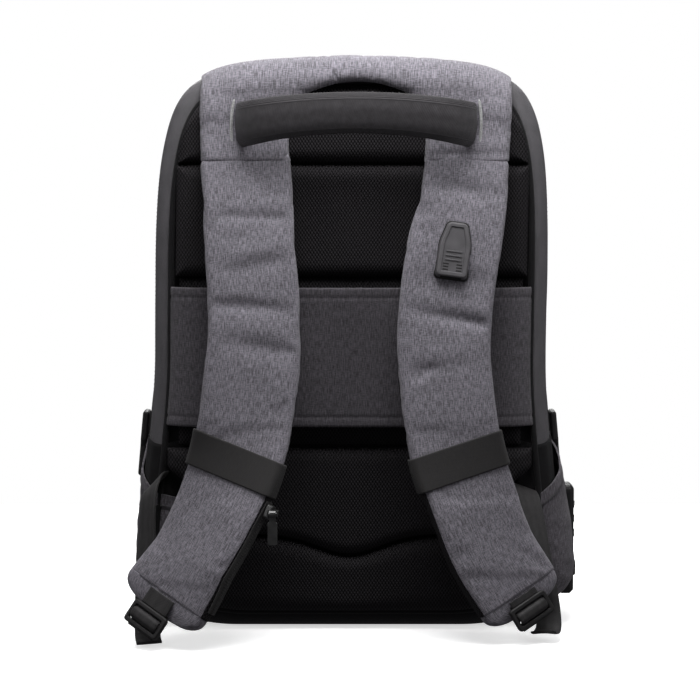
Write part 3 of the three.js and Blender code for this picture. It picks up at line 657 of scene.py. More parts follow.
class Graph:
    """One material's node tree, with short ways to add what the finishes share."""

    def __init__(self, name: str) -> None:
        """Starts a material that has only its shader.

        Args:
            name: The material's name.
        """
        self.material = bpy.data.materials.new(name)
        self.material.use_nodes = True
        self.tree = self.material.node_tree
        self.tree.nodes.clear()
        self.shader = self.add("ShaderNodeBsdfPrincipled")
        self.add("ShaderNodeOutputMaterial", {"Surface": self.shader.outputs[0]})

    def give(self, node: bpy.types.Node, key: Any, value: Any) -> None:
        """Gives a node's input its value.

        Args:
            node: The node.
            key: The input's name or number.
            value: A constant, or a socket that is linked to it.
        """
        if isinstance(value, Socket):
            self.tree.links.new(value, node.inputs[key])
        else:
            node.inputs[key].default_value = value

    def add(self, kind: str, inputs: dict[Any, Any] | None = None, **settings: Any) -> bpy.types.Node:
        """Adds a node.

        Args:
            kind: Its type.
            inputs: Values for its inputs, or sockets that are linked to them.
            settings: Its own settings.

        Returns:
            The node.
        """
        node = self.tree.nodes.new(kind)
        for key, value in settings.items():
            setattr(node, key, value)
        for key, value in (inputs or {}).items():
            self.give(node, key, value)
        return node

    def mapped(self, chart: str, scale: Sequence[float], turn: float = 0.0) -> Socket:
        """One of the piece's own coordinates, scaled and turned.

        Args:
            chart: The coordinates' name.
            scale: Steps to a metre, along each axis.
            turn: Turn about the third axis.

        Returns:
            The socket.
        """
        spot = self.add("ShaderNodeTexCoord").outputs[chart]
        values = {"Vector": spot, "Scale": scale, "Rotation": (0.0, 0.0, turn)}
        return self.add("ShaderNodeMapping", values).outputs[0]

    def cloth_map(self, across: float, along: float, turn: float = 0.0) -> Socket:
        """The piece's own map, counted in steps of the given sizes in millimetres."""
        return self.mapped("UV", (1 / (across * MM), 1 / (along * MM), 1.0), turn)

    def solid_map(self, size: float) -> Socket:
        """The piece's place in space, counted in steps of the given size in millimetres."""
        return self.mapped("Object", (1 / (size * MM),) * 3)

    def noise(self, chart: Socket, detail: float = 2.0) -> Socket:
        """Smooth unevenness of one step."""
        return self.add("ShaderNodeTexNoise", {"Vector": chart, "Scale": 1.0, "Detail": detail}).outputs[0]

    def sums(self, operation: str, first: Any, second: Any = 0.0) -> Socket:
        """One sum of two values or sockets."""
        return self.add("ShaderNodeMath", {0: first, 1: second}, operation=operation).outputs[0]

    def blend(self, *parts: tuple[Socket, float]) -> Socket:
        """The sum of some sockets, each times its weight."""
        weighed = [self.sums("MULTIPLY", socket, weight) for socket, weight in parts]
        return reduce(lambda first, second: self.sums("ADD", first, second), weighed)

    def wave(self, chart: Socket, axis: int) -> Socket:
        """Even waves along one axis of a map, one for each step, between -1 and 1."""
        share = self.add("ShaderNodeSeparateXYZ", {0: chart}).outputs[axis]
        return self.sums("SINE", self.sums("MULTIPLY", share, FULL_TURN))

    def weave(self, chart: Socket) -> Socket:
        """Bumps and hollows in turn, one of each for every step across and along."""
        return self.sums("MULTIPLY", self.wave(chart, 0), self.wave(chart, 1))

    def ramp(self, share: Socket, stops: dict[float, Colour]) -> None:
        """Colours the shader by a share.

        Args:
            share: The share.
            stops: Colours by the share that they belong to.
        """
        node = self.add("ShaderNodeValToRGB", {0: share})
        elements = node.color_ramp.elements
        while len(elements) < len(stops):
            elements.new(0.5)
        for element, (place, colour) in zip(elements, sorted(stops.items())):
            element.position = place
            element.color = colour
        self.give(self.shader, "Base Color", node.outputs[0])

    def spread(self, share: Socket, middle: float, less: float, more: float) -> Socket:
        """A share of 0.3 to 0.7 brought to a range round a value."""
        ends = {1: 0.3, 2: 0.7, 3: middle - less, 4: middle + more}
        return self.add("ShaderNodeMapRange", {0: share, **ends}).outputs[0]

    def finish(self, roughness: Any, relief: Socket, height: float, **values: float) -> bpy.types.Material:
        """Ends the shader.

        Args:
            roughness: Its roughness, a value or a socket.
            relief: Its relief, from 0 to 1.
            height: The relief's height in millimetres.
            values: Constants by the names of their sockets.

        Returns:
            The material.
        """
        bump = self.add("ShaderNodeBump", {"Height": relief, "Distance": height * MM, "Strength": 1.0})
        self.give(self.shader, "Normal", bump.outputs[0])
        self.give(self.shader, "Roughness", roughness)
        for key, value in values.items():
            self.give(self.shader, key.replace("_", " "), value)
        return self.material


def grey(level: float, warm: float = 0.0, cool: float = 0.0) -> Colour:
    """A grey with a little red or blue in it, as linear light."""
    return (level * (1 + warm), level, level * (1 + cool), 1.0)


@dataclass(frozen=True)
class Heather:
    """Woven melange: slubs along warp and weft, on a fine plain weave."""

    name: str
    slot: str
    dark: Colour
    middle: Colour
    light: Colour
    pitch: float = 0.9
    warp: tuple[float, float] = (0.7, 6.0)
    weft: tuple[float, float] = (3.4, 0.7)
    cloud: tuple[float, float] = (45.0, 60.0)
    roughness: float = 0.92
    relief: float = 0.28

    def make(self) -> bpy.types.Material:
        """Makes the material.

        Returns:
            The material.
        """
        graph = Graph(self.name)
        slubs = (self.warp, self.weft, self.cloud)
        warp, weft, cloud = (graph.noise(graph.cloth_map(*size)) for size in slubs)
        tone = graph.blend((warp, 0.57), (weft, 0.35), (cloud, 0.08))
        graph.ramp(tone, {0.39: self.dark, 0.5: self.middle, 0.61: self.light})
        relief = graph.blend((graph.weave(graph.cloth_map(self.pitch, self.pitch)), 0.3), (tone, 1.0))
        nap = {"Sheen_Weight": 0.12, "Sheen_Roughness": 0.6, "Specular_IOR_Level": 0.25}
        return graph.finish(self.roughness, relief, self.relief, **nap)


@dataclass(frozen=True)
class AirMesh:
    """Knitted spacer mesh: a lattice of open cells over black."""

    name: str
    slot: str
    hollow: Colour
    thread: Colour
    pitch: float = 2.6
    stretch: float = 1.5
    fuzz: float = 0.5
    roughness: float = 0.85
    relief: float = 0.7

    def make(self) -> bpy.types.Material:
        """Makes the material.

        Returns:
            The material.
        """
        graph = Graph(self.name)
        cell = graph.weave(graph.cloth_map(self.pitch, self.stretch * self.pitch))
        fuzz = graph.noise(graph.cloth_map(self.fuzz, self.fuzz))
        halved = {0: cell, 1: 0.5, 2: 0.5}
        lattice = graph.add("ShaderNodeMath", halved, operation="MULTIPLY_ADD").outputs[0]
        height = graph.blend((lattice, 1.0), (fuzz, 0.25))
        graph.ramp(height, {0.35: self.hollow, 0.8: self.thread})
        return graph.finish(self.roughness, height, self.relief, Specular_IOR_Level=0.12)


@dataclass(frozen=True)
class Webbing:
    """Woven strap webbing: ribs along its length, crossed by a fine slanting weft."""

    name: str
    slot: str
    dark: Colour
    light: Colour
    rib: float = 1.7
    roughness: float = 0.62
    weft: tuple[float, float] = (0.9, 0.8)
    slant: float = math.radians(18)
    yarn: tuple[float, float] = (0.7, 5.0)
    relief: float = 0.22

    def make(self) -> bpy.types.Material:
        """Makes the material.

        Returns:
            The material.
        """
        graph = Graph(self.name)
        ribs = graph.wave(graph.cloth_map(self.rib, 1.0), 0)
        weft = graph.weave(graph.cloth_map(*self.weft, self.slant))
        yarn = graph.noise(graph.cloth_map(*self.yarn))
        height = graph.blend((ribs, 0.35), (weft, 0.25))
        graph.ramp(graph.blend((height, 0.35), (yarn, 1.0)), {0.2: self.dark, 0.8: self.light})
        return graph.finish(self.roughness, height, self.relief, Sheen_Weight=0.06, Specular_IOR_Level=0.35)


@dataclass(frozen=True)
class CoatedCloth:
    """Smooth coated cloth with a faint fine weave and soft scuffs."""

    name: str
    slot: str
    dark: Colour
    light: Colour
    gloss: float = 0.45
    roughness: float = 0.5
    scuff: tuple[float, float] = (14.0, 22.0)
    yarn: tuple[float, float] = (0.6, 3.0)
    pitch: float = 0.6
    relief: float = 0.3

    def make(self) -> bpy.types.Material:
        """Makes the material.

        Returns:
            The material.
        """
        graph = Graph(self.name)
        scuffs = graph.noise(graph.cloth_map(*self.scuff), 4.0)
        yarn = graph.noise(graph.cloth_map(*self.yarn))
        graph.ramp(graph.blend((scuffs, 0.6), (yarn, 0.4)), {0.3: self.dark, 0.7: self.light})
        relief = graph.blend((graph.weave(graph.cloth_map(self.pitch, self.pitch)), 0.2), (scuffs, 0.9))
        rough = graph.spread(scuffs, self.roughness, 0.08, 0.1)
        return graph.finish(rough, relief, self.relief, Specular_IOR_Level=self.gloss, Sheen_Weight=0.05)


@dataclass(frozen=True)
class Moulded:
    """Moulded plastic or dark metal with a fine spark-eroded grain."""

    name: str
    slot: str
    dark: Colour
    light: Colour
    roughness: float = 0.45
    metal: float = 0.0
    grain: float = 0.05
    gloss: float = 0.5
    cloud: float = 9.0
    speck: float = 0.45

    def make(self) -> bpy.types.Material:
        """Makes the material.

        Returns:
            The material.
        """
        graph = Graph(self.name)
        cloud = graph.noise(graph.solid_map(self.cloud), 3.0)
        speck = graph.noise(graph.solid_map(self.speck))
        graph.ramp(graph.blend((cloud, 0.55), (speck, 0.45)), {0.3: self.dark, 0.7: self.light})
        rough = graph.spread(cloud, self.roughness, 0.06, 0.08)
        return graph.finish(rough, speck, self.grain, Metallic=self.metal, Specular_IOR_Level=self.gloss)


HEATHER = Heather(
    "grey_heather", "heather", grey(0.066, 0.05, 0.13), grey(0.136, 0.06, 0.15), grey(0.222, 0.07, 0.16)
)
# A paler copy of the grey heather for the welts, the yoke's rolled edges at the handle's ends: painted
# highlight along them.
HIGHLIT_HEATHER = Heather("heather_painted_highlight", "heather", grey(0.2), grey(0.3), grey(0.4))
BAND_HEATHER = Heather(
    "dark_heather", "band_heather", grey(0.027, 0.1, 0.14), grey(0.051, 0.1, 0.15), grey(0.087, 0.1, 0.16)
)
POCKET_HEATHER = Heather(
    "pocket_heather", "heather", grey(0.036, 0.1, 0.14), grey(0.07, 0.1, 0.15), grey(0.118, 0.1, 0.16)
)
AIR_MESH = AirMesh("air_mesh", "air_mesh", grey(0.004, 0.1, 0.1), grey(0.02, 0.1, 0.12))
WEBBING = Webbing("strap_webbing", "webbing", grey(0.017, 0.1, 0.1), grey(0.034, 0.1, 0.12))
BLACK_WEB = Webbing("black_webbing", "webbing", grey(0.008, 0.1, 0.06), grey(0.018, 0.1, 0.06))
BINDING = Webbing("binding_tape", "webbing", grey(0.009, 0.1, 0.02), grey(0.018, 0.1, 0.02), 0.8, 0.7)
CHARCOAL = CoatedCloth("charcoal_cloth", "charcoal", grey(0.045, 0.06, 0.1), grey(0.085, 0.06, 0.1))
LINING = CoatedCloth("black_lining", "charcoal", grey(0.004, 0.05, 0.1), grey(0.012, 0.05, 0.1), 0.1, 0.8)
BASE_CLOTH = CoatedCloth(
    "base_cloth", "charcoal", grey(0.006, 0.05, 0.1), grey(0.014, 0.05, 0.1), 0.15, 0.75
)
PLASTIC = Moulded(
    "black_moulding", "black_plastic", grey(0.007, 0.08, 0.04), grey(0.014, 0.08, 0.04), 0.55, gloss=0.3
)
OUTLET_PLASTIC = Moulded(
    "outlet_moulding", "outlet_plastic", grey(0.05, 0.05, 0.08), grey(0.075, 0.05, 0.08), 0.48
)
DARK_METAL = Moulded("dark_metal", "dark_metal", grey(0.04), grey(0.09), 0.36, 0.7, 0.02)
PALE_MARK = Moulded("pale_mark", "black_plastic", grey(0.6), grey(0.75), 0.55)
THREAD = Moulded("thread", "webbing", grey(0.05), grey(0.1), 0.8)
Finish = Heather | AirMesh | Webbing | CoatedCloth | Moulded


@lru_cache(maxsize=None)
def material_of(finish: Finish) -> bpy.types.Material:
    """The finish's material, made once."""
    return finish.make()


def wear(piece: Piece, *finishes: Finish, stands_for: Sequence[str] = (), body: str = "bag") -> None:
    """Dresses a new piece and fixes it to its body.

    Args:
        piece: The piece.
        finishes: Its finish, and the second one where it has two.
        stands_for: The solids that it stands for.
        body: The body that it rides on.
    """
    for finish in finishes:
        piece.data.materials.append(material_of(finish))
    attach(piece, body)
    if stands_for:
        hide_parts(*stands_for)
    log.info("%s: %d faces", piece.name, len(piece.data.polygons))


def stretch(piece: Piece, place: Place, rests_on: list[str]) -> None:
    """Measures a cloth that its seams hold stretched, along its surface; nothing is kept or declared.

    Args:
        piece: The cloth. Not used.
        place: Its surface.
        rests_on: The solids that hold it.
    """
    wide, long = measure(place)
    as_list(rests_on)


def stitched(name: str, rows: Sequence[Sequence[Vector]], face: Vector) -> None:
    """One piece that holds rows of stitches.

    Args:
        name: The piece's name.
        rows: A line of points in millimetres for each row.
        face: The direction that the stitches stand out of.
    """
    form = bmesh.new()
    size = Matrix.Diagonal((*STITCH_SIZE, 1.0)) @ Matrix.Scale(MM, 4)
    for points in rows:
        line = Route([tuple(point) for point in points])
        count = max(2, int(line.length / STITCH_PITCH))
        for i in range(count):
            place, along, _ = line.at((i + 0.5) / count)
            across = along.cross(face).normalized()
            turn = Matrix((along, across, across.cross(along))).transposed().to_4x4()
            spot = Matrix.Translation(BAG.settle(place) * MM) @ turn @ size
            bmesh.ops.create_icosphere(form, subdivisions=1, radius=1.0, matrix=spot)
    wear(link(name, form), THREAD)


# The shell


@dataclass
class Shell:
    """The walls round the bag, the panels that close it, the seams' piping and the main zip."""

    wall: float = 2.5
    slack: Unevenness = Unevenness(0.6, 70.0, 3.0)
    crumple: Unevenness = Unevenness(0.15, 19.0, 7.0)
    pucker: float = 0.5
    pucker_pitch: float = 2.2
    pucker_share: float = 0.07
    pucker_low: float = 300.0
    pucker_high: float = 390.0
    flat_low: float = 1.0
    flat_high: float = 30.0
    dome: float = 13.0
    dome_power: float = 2.4
    panel_slack: Unevenness = Unevenness(1.2, 70.0, 5.0)
    panel_inset: float = 0.5
    panel_share: float = 0.86
    piping_radius: float = 2.6
    piping_back: float = 1.5
    zip_half: float = 5.5
    zip_foot: float = 2.62
    zip_lift: float = 1.3
    tape: float = 0.8
    coil_angle: float = 1400.0

    def build(self) -> None:
        """Makes and dresses every piece of the shell."""
        foot, sides = BAG.SIDE_FOOT, ["gusset_right", "gusset_top", "gusset_left"]
        self.build_wall("side_wall", (foot, BAG.ALL_ROUND - foot), 340, CHARCOAL, sides)
        self.build_wall("base_wall", (-foot, foot), 120, BASE_CLOTH, ["base_panel"])
        self.build_panel("front_face", BAG.front_row(0), self.dome, HEATHER, "front_panel")
        self.build_panel("back_lining", BAG.rear_row(0), -1.0, LINING, "back_board")
        rear = replace(BAG.rear_row(0), y=BAG.rear_y - self.piping_back)
        self.build_piping("rear_piping", rear, 1.4, LINING)
        self.build_piping("front_piping", BAG.front_row(0), 0.5, BINDING)
        self.build_zip()

    def build_wall(
        self, name: str, ends: tuple[float, float], rows: int, finish: Finish, nodes: list[str]
    ) -> None:
        """One stretch of the wall, with the puckers that its seams draw into it.

        Args:
            name: The piece's name.
            ends: Its first and last place on the outline.
            rows: How many rows of faces it has.
            finish: Its finish.
            nodes: The solids that it stands for.
        """
        station = BAG.stations(*ends)

        def place(u: float, v: float) -> Vector:
            """The wall's outside, from the rear seam forwards."""
            row = BAG.row_across(u)
            point = BAG.point(row, station(v))
            gather = self.pucker * bell(u, self.pucker_share, self.pucker_share)
            gather *= smoothstep(point.z, self.pucker_low, self.pucker_high)
            gather *= math.sin(point.z / self.pucker_pitch + 3 * u)
            slack = self.slack.at(point) + self.crumple.at(point)
            free = math.sin(math.pi * u) ** 0.5
            lift = (gather + slack) * free * smoothstep(point.z, self.flat_low, self.flat_high)
            return BAG.point(replace(row, inset=row.inset - lift), station(v))

        wall = sew(name, Cut(56, rows), place)
        thicken(wall, self.wall)
        wear(wall, finish, stands_for=nodes)
        stretch(wall, place, ["front_panel", "back_board"])

    def build_panel(self, name: str, row: Row, dome: float, finish: Finish, node: str) -> None:
        """A panel across the shell, domed towards its outside.

        Args:
            name: The piece's name.
            row: The shell's row at its edge.
            dome: The dome's height, forwards.
            finish: Its finish.
            node: The solid that it stands for.
        """
        station = BAG.stations(0.0, BAG.ALL_ROUND)
        middle = Vector((0.0, row.y - row.lean / 2, BAG.height / 2))

        def place(u: float, v: float) -> Vector:
            """The panel's face, round its outline and in to its middle."""
            share = 1.0 - v
            edge = BAG.point(replace(row, inset=row.inset + self.panel_inset), station(u))
            point = middle.lerp(edge, share)
            bulge = dome * (1 - share**self.dome_power)
            soft = self.panel_slack.at(point) * (1 - share**6)
            point.y = row.y - row.lean * point.z / BAG.height + bulge + (soft if dome > 0 else 0.0)
            return point

        panel = sew(name, Cut(240, 44, closed=True, chart=Chart.FACING), place)
        thicken(panel, self.wall)
        wear(panel, finish, stands_for=[node])

    def build_piping(self, name: str, row: Row, inward: float, finish: Finish) -> None:
        """A welt all the way round one of the shell's seams.

        Args:
            name: The piece's name.
            row: The shell's row at the seam.
            inward: How far the welt's middle lies inside the seam.
            finish: Its finish.
        """
        station = BAG.stations(0.0, BAG.ALL_ROUND)

        def place(u: float, v: float) -> Vector:
            """The welt's surface, round its section and along the seam."""
            turn = FULL_TURN * u
            out = -inward - self.piping_radius * math.cos(turn)
            point = BAG.point(replace(row, inset=row.inset - out), station(v))
            point.y += self.piping_radius * math.sin(turn)
            return point

        wear(sew(name, Cut(10, 420, closed=True), place), finish)

    def build_zip(self) -> None:
        """The main zip over the top and down both sides: tape with a coil along its middle."""
        station = BAG.stations(self.zip_foot, BAG.ALL_ROUND - self.zip_foot)

        def place(u: float, v: float) -> Vector:
            """The zip's outside."""
            across = (2 * u - 1) * self.zip_half
            row = BAG.row_at(BAG.middle.y + across)
            coil = smoothstep(-abs(across), -2.6, -1.4) * (0.9 + 0.4 * math.cos(v * self.coil_angle))
            return BAG.point(replace(row, inset=row.inset - self.zip_lift - coil), station(v))

        tape = sew("main_zip_tape", Cut(12, 1300), place)
        thicken(tape, self.tape)
        wear(tape, BINDING, stands_for=["main_zip"])


# The back


@dataclass(frozen=True)
class Pad:
    """One sewn mesh cushion: its solid, half width, lower and upper edge over the width, and thickness.

    The wings are what the half width gains beside the upper edge.
    """

    WING_LOW = 112.0
    WING_HIGH = 134.0

    node: str
    half: float
    low: Callable[[float], float]
    high: Callable[[float], float]
    thick: float = 12.0
    wings: float = 0.0

    def half_at(self, z: float) -> float:
        """Half the width at a height."""
        return self.half + self.wings * smoothstep(z, self.WING_LOW, self.WING_HIGH)


def edge_drawn(share: float, draw: float) -> float:
    """A place from -1 to 1 for a share, with the steps drawn closer towards both ends."""
    return math.sin((2 * share - 1) * RIGHT_ANGLE * draw) / math.sin(RIGHT_ANGLE * draw)


@dataclass
class Back:
    """The sewn mesh cushions and the band that a case handle passes behind."""

    seam_top: float = 373.6
    seam_upper: float = 284.2
    seam_middle: float = 147.6
    seam_gap: float = 1.0
    rim_gap: float = 2.0
    vee_low: float = 60.0
    vee_rise: float = 16.0
    vee_spread: float = 36.0
    pad_round: float = 11.0
    pad_edge: float = 0.22
    pad_under: float = 0.4
    dents: Unevenness = Unevenness(0.5, 40.0, 2.0)
    band_low: float = 165.0
    band_high: float = 276.0
    band_bow: float = 19.0
    band_anchor: float = 3.8
    band_thick: float = 3.2
    band_roll: float = 0.9
    band_slack: Unevenness = Unevenness(0.9, 60.0, 4.0)
    hem: float = 8.0
    hem_dip: float = 0.7
    stitch_sunk: float = 0.4

    def vee(self, x: float) -> float:
        """The height of the low seam's vee."""
        return self.vee_low + self.vee_rise * (1 - math.exp(-((x / self.vee_spread) ** 2)))

    @staticmethod
    @lru_cache(maxsize=4096)
    def rim(x: float, upper: bool) -> float:
        """The height of the rear seam, found by halving.

        Args:
            x: Distance from the middle.
            upper: Whether the top of the seam is meant, or the foot.

        Returns:
            The height.
        """
        row = BAG.rear_row(0)
        near, far = (3.999, 3.0) if upper else (0.001, 2.0)
        for _ in range(30):
            p = (near + far) / 2
            near, far = (p, far) if BAG.point(row, p).x < abs(x) else (near, p)
        return BAG.point(row, near).z

    def build(self) -> None:
        """Makes and dresses the cushions, from top to bottom, and the band."""
        gap, rim_gap = self.seam_gap, self.rim_gap
        top, upper, middle = self.seam_top, self.seam_upper, self.seam_middle
        pads = [
            Pad("mesh_top", 139.0, lambda x: top + gap, lambda x: self.rim(x, True) - rim_gap),
            Pad("mesh_upper", 140.0, lambda x: upper, lambda x: top - gap),
            Pad("mesh_middle", 137.0, lambda x: middle + gap, lambda x: upper - rim_gap, 5.0),
            Pad("mesh_lower", 127.0, lambda x: self.vee(x) + gap, lambda x: middle - gap, wings=19.0),
            Pad("mesh_base", 127.0, lambda x: self.rim(x, False) + rim_gap, lambda x: self.vee(x) - gap),
        ]
        for pad in pads:
            self.build_pad(pad)
        self.build_band()

    def build_pad(self, pad: Pad) -> None:
        """One cushion, flat behind and crowned in front, with edges that are sewn down.

        Args:
            pad: The cushion.
        """
        back = BAG.rear_y - CLEARANCE

        def place(u: float, v: float) -> Vector:
            """The cushion's face."""
            across = edge_drawn(u, 0.96)
            upright = 0.5 + 0.5 * edge_drawn(v, 0.9)
            middle = round(across * pad.half, 3)
            z = mix(pad.low(middle), pad.high(middle), upright)
            half = pad.half_at(z)
            span = pad.high(0.0) - pad.low(0.0)
            inset = min((1 - abs(across)) * half, (0.5 - abs(upright - 0.5)) * span)
            swell = mix(self.pad_edge, 1.0, quarter_round(inset / self.pad_round))
            dent = self.dents.at((across * half, 0, z))
            return Vector((across * half, back - (pad.thick - self.pad_under) * swell - dent * swell, z))

        cushion = sew(pad.node + "_pad", Cut(96, 56, chart=Chart.FACING, back_at=back), place)
        wear(cushion, AIR_MESH, stands_for=[pad.node])

    def band_point(self, u: float, v: float, proud: float = 0.0) -> Vector:
        """A point of the luggage band's face.

        Args:
            u: Share across.
            v: Share up.
            proud: Distance off the face.

        Returns:
            The point, before the bag's settle.
        """
        across = 2 * u - 1
        z = mix(self.band_low, self.band_high, v)
        half = BAG.half_width(z, BAG.rear_inset) - 1
        bow = self.band_anchor + (self.band_bow - self.band_anchor) * (1 - abs(across) ** 12)
        edge = min(z - self.band_low, self.band_high - z)
        rolled = self.band_roll * quarter_round(edge / 1.2) - self.band_roll
        stitch = -self.hem_dip * bell(edge, self.hem, 1.1)
        slack = self.band_slack.at((across * half, 0, z)) * (1 - across**8)
        return Vector((across * half, BAG.rear_y - bow - rolled - stitch - slack - proud, z))

    def build_band(self) -> None:
        """The band, hemmed at its top and bottom edges, with its rows of stitches."""
        band = sew("luggage_band_cloth", Cut(120, 90, chart=Chart.FACING), self.band_point)
        thicken(band, self.band_thick)
        wear(band, BAND_HEATHER, stands_for=["luggage_band"])
        stretch(band, self.band_point, ["gusset_left", "gusset_right"])
        hem = self.hem / (self.band_high - self.band_low)
        across = shares_between(0.03, 24)
        rows = [[self.band_point(u, level, -self.stitch_sunk) for u in across] for level in (hem, 1 - hem)]
        stitched("luggage_band_stitches", rows, Vector((0, -1, 0)))


# The harness


@dataclass(frozen=True)
class Station:
    """A strap's frame at one place along it."""

    place: Vector
    along: Vector
    across: Vector
    face: Vector
    width: float
    thick: float

    def offset(self, sideways: float, outwards: float) -> Vector:
        """A point sideways of the middle line, and towards the strap's face."""
        return self.place + self.across * sideways + self.face * outwards


STRAP_LINES: dict[Side, list[tuple[float, ...]]] = {
    # Columns: x, y, z, width, thickness, outward twist in degrees. Rows run from the yoke to the end seam.
    Side.LEFT: [
        (-84.5, -83, 372.7, 71, 13, 0),
        (-81.6, -90, 341, 71, 14, 0),
        (-79.4, -98, 306, 71, 14, 0),
        (-76.1, -106, 254, 73, 14, 0),
        (-76.6, -111, 217, 75, 14, 2),
        (-82.4, -117, 169, 75, 14, 8),
        (-88, -121, 143, 75.5, 15, 18),
        (-102, -127, 105.5, 76, 18, 30),
        (-121, -133, 69, 77, 18, 35),
        (-140.5, -137, 39.5, 80, 15, 26),
    ],
    Side.RIGHT: [
        (89.5, -83, 372.7, 66, 13, 0),
        (86.5, -90, 341, 69, 14, 0),
        (80.2, -98, 306, 74, 14, 0),
        (74.4, -106, 254, 74, 14, 0),
        (74.1, -111, 217, 73, 14, 2),
        (79.6, -116, 169, 73, 14, 5),
        (84.9, -118, 143, 73.5, 15, 10),
        (97.1, -120, 108.5, 73, 17, 18),
        (112.4, -121, 71, 73, 17, 22),
        (132, -121, 38, 72, 15, 20),
    ],
}

CREASES: dict[Side, list[tuple[float, ...]]] = {
    # Columns: height, depth, width, slope across, middle across as a share of the half width.
    Side.LEFT: [
        (331, 1.2, 5, 0.1, -0.4),
        (293, 2.0, 6, -0.12, -0.2),
        (262, 1.1, 5, 0.1, 0.4),
        (231, 2.2, 7, 0.14, -0.3),
    ],
    Side.RIGHT: [
        (352, 2.2, 7, -0.06, 0.0),
        (283, 1.6, 6, 0.12, 0.3),
        (254, 2.2, 6, -0.1, 0.5),
        (215, 1.2, 6, 0.1, -0.3),
    ],
}

END_WAYS: dict[Side, list[tuple[float, float, float]]] = {
    # The way of each adjuster's web from the bag's side seam to the adjuster's lower bar.
    Side.LEFT: [
        (-151, -62.5, 120), (-152, -67, 120.3), (-155.5, -78, 120), (-158.5, -87, 113), (-160, -97, 80),
        (-159, -110, 36), (-157, -130, 7), (-155, -141, 3.4),
    ],
    Side.RIGHT: [
        (141, -62.5, 114), (141, -67, 113.8), (143, -76, 108), (147.5, -87, 84), (153, -97, 50),
        (157, -105, 24), (157, -114, 10), (154, -121, 8), (151, -126, 9.5),
    ],
}
END_HANGS = {Side.LEFT: 23.5, Side.RIGHT: 15.0}
WEB_TWISTS = {Side.LEFT: math.radians(50), Side.RIGHT: math.radians(-20)}
BAND_SKEWS = {Side.LEFT: 0.09, Side.RIGHT: 0.035}


def flat_ring(turn: float, width: float, thick: float) -> tuple[float, float]:
    """A point round the section of a flat web with rounded edges, from a share of the way round."""
    angle = FULL_TURN * turn
    return width / 2 * signed_power(math.cos(angle), 0.22), thick / 2 * signed_power(math.sin(angle), 0.5)


def padded_ring(turn: float, width: float, thick: float, edge: float) -> tuple[float, float]:
    """A point round a padded section, even steps along its rounded rectangle.

    Args:
        turn: Share of the way round, from the foot of the inner edge over the face and back.
        width: Full width.
        thick: Full thickness.
        edge: Radius of the corners.

    Returns:
        Distances sideways and towards the face.
    """
    a, b = width / 2 - edge, thick / 2 - edge
    arc = RIGHT_ANGLE * edge
    left = turn * (4 * a + 4 * b + 4 * arc)
    corners = ((-a, b, math.pi), (a, b, RIGHT_ANGLE), (a, -b, 0.0), (-a, -b, -RIGHT_ANGLE))
    ways = ((-a - edge, -b, 0, 1), (-a, b + edge, 1, 0), (a + edge, b, 0, -1), (a, -b - edge, -1, 0))
    for (x, z, dx, dz), (cx, cz, start), run in zip(ways, corners, (2 * b, 2 * a, 2 * b, 2 * a)):
        if left <= run:
            return x + dx * left, z + dz * left
        left -= run
        if left <= arc:
            angle = start - left / edge
            return cx + edge * math.cos(angle), cz + edge * math.sin(angle)
        left -= arc
    return -a - edge, -b


